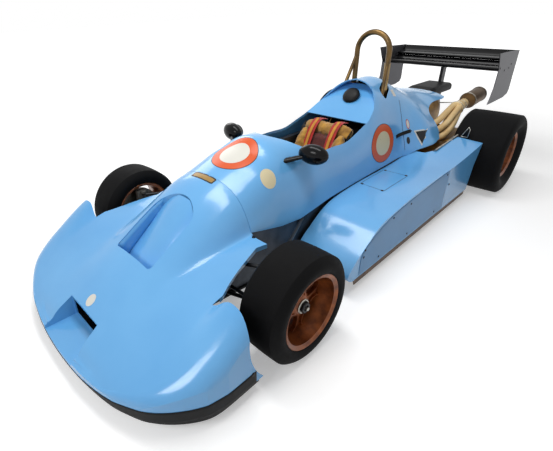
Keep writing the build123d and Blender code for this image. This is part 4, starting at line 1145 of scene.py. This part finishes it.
# %% Latch and clips
for side, name in SIDES:
    ends = [(side * 0.30, 0.405, 0.545), (side * 0.30, 0.45, 0.548), (side * 0.31, 0.50, 0.551),
            (side * 0.31, 0.55, 0.555), (side * 0.31, 0.575, 0.556)]
    ribbon("latch_pad_" + name, ends, (-side, 0, 0), 0.026, black_plastic, 0.0012, step=0.01)
    raised = [land(p, (-side, 0, 0), 0.006)[0] for p in ends]
    tube("latch_bar_" + name, raised, 0.0045, black_plastic)
for k, along in enumerate((0.09, 0.345)):
    lift = 0.001 + math.tan(math.radians(2.7)) * along
    hoop_centre = Vector((0.351, 1.472 + along, 0.608 + lift))
    band = oval_run(hoop_centre, Vector((0.0665, 0, 0)), Vector((0, 0, 0.0665)))
    tube(f"silencer_band_{k + 1}", band, 0.0028, plated_steel, closed=True)
tube("silencer_stay", [(0.345, 1.80, 0.561), (0.30, 1.79, 0.55), (0.2, 1.74, 0.54), (0.018, 1.70, 0.52)],
     0.005, plated_steel)
print("latches and clips")

# %% [markdown]
# ## Exhaust pipes
# Four pipes of 50 mm leave the engine's left side, sweep back side by side and meet in a cone
# that narrows to the silencer's inlet. Each is a tube along a smooth curve, so that its bends are
# as even as a mandrel makes them. Thin sprung wires clip them to the cone.

# %% Exhaust pipes and cone
def turned_back(name, stations, x, material, steps=64):
    """A closed shape of rings that face back along the car, from (y, z, radius) stations."""
    points = []
    for y, z, radius in stations:
        for k in range(steps):
            angle = 2 * math.pi * k / steps
            points.append((x + radius * math.cos(angle), y, z + radius * math.sin(angle)))
    return sharp_edges(outwards(new_piece(name, points, skinned(len(stations), steps), material)), 35)


cone_x, pipe_radius = 0.352, 0.025
pipe_runs = {
    "first": [(0.175, 0.925, 0.47), (0.27, 0.925, 0.485), (0.328, 0.99, 0.530), (0.334, 1.10, 0.562),
              (0.330, 1.20, 0.588), (0.328, 1.31, 0.612)],
    "second": [(0.175, 0.82, 0.47), (0.29, 0.82, 0.472), (0.366, 0.92, 0.488), (0.384, 1.05, 0.512),
               (0.384, 1.17, 0.560), (0.376, 1.31, 0.606)],
    "third": [(0.175, 0.715, 0.47), (0.29, 0.715, 0.458), (0.378, 0.84, 0.436), (0.412, 1.0, 0.444),
              (0.414, 1.14, 0.502), (0.376, 1.31, 0.572)],
    "fourth": [(0.175, 0.61, 0.47), (0.28, 0.61, 0.455), (0.340, 0.76, 0.418), (0.352, 0.95, 0.412),
               (0.352, 1.13, 0.482), (0.332, 1.31, 0.570)],
}
cone = turned_back("exhaust_cone", [(1.295, 0.589, 0.050), (1.30, 0.590, 0.055), (1.33, 0.592, 0.054),
                                    (1.37, 0.597, 0.046), (1.41, 0.602, 0.041), (1.462, 0.607, 0.039),
                                    (1.474, 0.608, 0.039)], cone_x, pipe_paint)
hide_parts("exhaust_primaries")
for count, run in pipe_runs.items():
    tube("exhaust_pipe_" + count, [Vector(p) for p in run], pipe_radius, pipe_paint)
turned_back("silencer_inlet", [(1.468, 0.607, 0.041), (1.472, 0.607, 0.044), (1.484, 0.608, 0.044),
                               (1.488, 0.608, 0.041)], 0.351, can_steel)
for k, (y, z) in enumerate(((1.315, 0.591), (1.405, 0.602))):
    radius = 0.0565 - 0.0135 * k
    ring = oval_run(Vector((cone_x, y, z)), Vector((radius, 0, 0)), Vector((0, 0, radius)))
    tube(f"pipe_clip_{k + 1}", ring, 0.0022, plated_steel, closed=True)
for side in (-1, 1):
    tube("pipe_spring_" + ("left" if side > 0 else "right"),
         [(cone_x + side * 0.058, 1.30, 0.592), (cone_x + side * 0.060, 1.35, 0.597),
          (cone_x + side * 0.046, 1.41, 0.602)], 0.0035, plated_steel)
print(len(pipe_runs), "pipes into one cone")

# %% Heat shields
shield_steps = 8
notch = []
for k in range(shield_steps + 1):
    z = 0.43 + 0.24 * k / shield_steps
    bow = math.sin(math.pi * k / shield_steps)
    notch.append([(0.212 + 0.022 * bow, 0.89 + 0.039 * j, z) for j in range(11)])
sheet_of("notch_shield", notch, shield_sheet)

tray_edge = [(0.486, 0.660, 0.421), (0.491, 0.720, 0.430), (0.500, 0.780, 0.440), (0.507, 0.840, 0.451),
             (0.514, 0.900, 0.462), (0.521, 0.952, 0.474)]
tray_inner_x, tray_lift, tray_depth, tray_steps = 0.300, 0.004, 0.075, 10
tray = []
for x, y, z in tray_edge:
    row = []
    for k in range(tray_steps + 1):
        t = k / tray_steps
        dip = tray_depth * math.sin(math.pi / 2 * min((1 - t) * 2.2, 1))
        row.append((tray_inner_x + (x - tray_inner_x) * t, y, z + tray_lift - dip))
    tray.append(row)
sheet_of("pipe_tray", tray, shield_sheet)
lip = [Vector((x, y, z + tray_lift)) for x, y, z in tray_edge]
tube("tray_lip_side", lip, 0.0065, plated_steel)
tube("tray_lip_front", [Vector(row) for row in tray[0]], 0.005, plated_steel)
trough = []
for j in range(shield_steps + 1):
    t = j / shield_steps
    row = []
    for k in range(shield_steps + 1):
        across = 2 * k / shield_steps - 1
        row.append((0.390 + 0.072 * across, 0.955 + 0.30 * t, 0.418 + 0.045 * t - 0.018 * (1 - across ** 2)))
    trough.append(row)
sheet_of("pipe_trough", trough, shield_sheet)
for edge, name in ((-1, "outer"), (0, "inner")):
    tube("trough_edge_" + name, [Vector(row[edge]) for row in trough], 0.004, plated_steel)
for side, name in SIDES:
    corners = [Vector((side * x, y, z)) for x, y, z in
               ((0.548, 0.949, 0.472), (0.588, 0.950, 0.552), (0.600, 0.950, 0.535), (0.594, 0.949, 0.474))]
    tube("tail_gusset_rim_" + name, corners + corners[:1], 0.0035, plated_steel, smooth_run=False)
    gusset = new_piece("tail_gusset_" + name, corners, [(0, 1, 2, 3)], black_plastic)
    thicken(gusset, 0.002)
# A black strip closes the wing's slot between the main plane and the flap: painted shade where the gap shows
# dark.
sheet_of("wing_slot_shade_strip", [[(x, 1.903, 0.9150), (x, 1.8965, 0.9245)] for x in (-0.513, 0, 0.513)],
             black_gloss)
print("heat shields, tray, gussets and the wing's slot strip")

# %% [markdown]
# ## Sleeve on the hoop
# The hoop's left leg wears a sleeve of gold tape where it goes into the cowl. It is a close tube
# with a bead at each end, in a paler and duller finish than the painted steel.

# %% Hoop sleeve
gold_tape, tree, shader, place = new_material("tape_gold_cloth", "#AE8F58", 0.55, 0.2)
smears = mottle(tree, shader, place, ("#9A7A44", "#C0A26B"), 20.0)
uneven_gloss(tree, shader, smears, 0.45, 0.65)
wraps = add_node(tree, "ShaderNodeTexWave", {"bands_direction": "Z", "Scale": 16.0, "Distortion": 0.6},
                 {"Vector": place})
relief(tree, shader, wraps.outputs["Fac"], 0.0006, 0.6)
hoop_leg = Vector((0.124, 0.443, 0))
bead_reach = 0.0205
tube("hoop_sleeve", [hoop_leg + Vector((0, 0, z)) for z in (0.855, 1.035)], 0.0203, gold_tape,
     smooth_run=False)
for k, z in enumerate((0.935, 1.035)):
    bead = oval_run(hoop_leg + Vector((0, 0, z)), Vector((bead_reach, 0, 0)), Vector((0, bead_reach, 0)))
    tube(f"hoop_sleeve_bead_{k + 1}", bead, 0.0018, gold_tape, closed=True)
print("sleeve on the hoop")

# %% [markdown]
# ## Studio
# The floor and the backdrop are plain and pale, and the light is a soft studio light: a big
# overhead softbox, a second one at the front left, and a dim fill from the right. Camera rays
# see the world as white; the object is lit by a softer grey. The floor glows a little for those
# rays only, and more with distance from the car, so that it meets the white without a line and
# the shadows under the car stay.

# %% Floor, world and lamps
def seen_rays(tree):
    """One for camera, glossy and transmission rays, which see the backdrop, and nought for others."""
    rays = add_node(tree, "ShaderNodeLightPath")
    both_rays = add_node(tree, "ShaderNodeMath", {"operation": "MAXIMUM"},
                         {0: rays.outputs["Is Camera Ray"], 1: rays.outputs["Is Glossy Ray"]})
    return add_node(tree, "ShaderNodeMath", {"operation": "MAXIMUM"},
                    {0: both_rays.outputs["Value"],
                     1: rays.outputs["Is Transmission Ray"]}).outputs["Value"]


floor_paint, tree, shader, place = new_material("floor_pale", "#EDEDED", 0.9)
mottle(tree, shader, place, ("#EBEBEB", "#EFEFEF"), 0.6)
shader.inputs["Emission Color"].default_value = linear("#FFFFFF")
reach = add_node(tree, "ShaderNodeVectorMath", {"operation": "LENGTH"}, {0: place})
far_glow = add_node(tree, "ShaderNodeMapRange",
                    {"From Min": 2.6, "From Max": 7.0, "To Min": 0.36, "To Max": 1.0},
                    {"Value": reach.outputs["Value"]})
glow = add_node(tree, "ShaderNodeMath", {"operation": "MULTIPLY"},
                {0: seen_rays(tree), 1: far_glow.outputs["Result"]})
tree.links.new(glow.outputs["Value"], shader.inputs["Emission Strength"])
floor = new_piece("floor", [(-30, -30, -0.001), (30, -30, -0.001), (30, 30, -0.001), (-30, 30, -0.001)],
                  [(0, 1, 2, 3)], floor_paint)
floor.parent = None

world = bpy.data.worlds.new("studio")
bpy.context.scene.world = world
world.use_nodes = True
sky = world.node_tree
sky.nodes["Background"].inputs["Color"].default_value = (1, 1, 1, 1)
strength = add_node(sky, "ShaderNodeMapRange", {"To Min": 0.3, "To Max": 1.0},
                    {"Value": seen_rays(sky)})
sky.links.new(strength.outputs["Result"], sky.nodes["Background"].inputs["Strength"])


def softbox(name, place, target, size, watts):
    """A rectangular lamp turned towards a target."""
    lamp = bpy.data.lights.new(name, "AREA")
    lamp.shape = "RECTANGLE"
    lamp.size, lamp.size_y = size
    lamp.energy = watts
    holder = placed(name, lamp)
    holder.location = place
    holder.rotation_euler = (Vector(target) - Vector(place)).to_track_quat("-Z", "Y").to_euler()


softbox("lamp_overhead", (0.0, -0.9, 3.8), (0, -0.1, 0.4), (3.0, 1.0), 84)
softbox("lamp_front", (0.4, -4.4, 2.9), (0, -1.2, 0.3), (1.6, 1.1), 54)
softbox("lamp_fill", (-4.2, 1.2, 2.8), (0, 0.4, 0.5), (2.4, 2.0), 40)
bpy.context.scene.view_settings.view_transform = "Standard"
print("three softboxes")
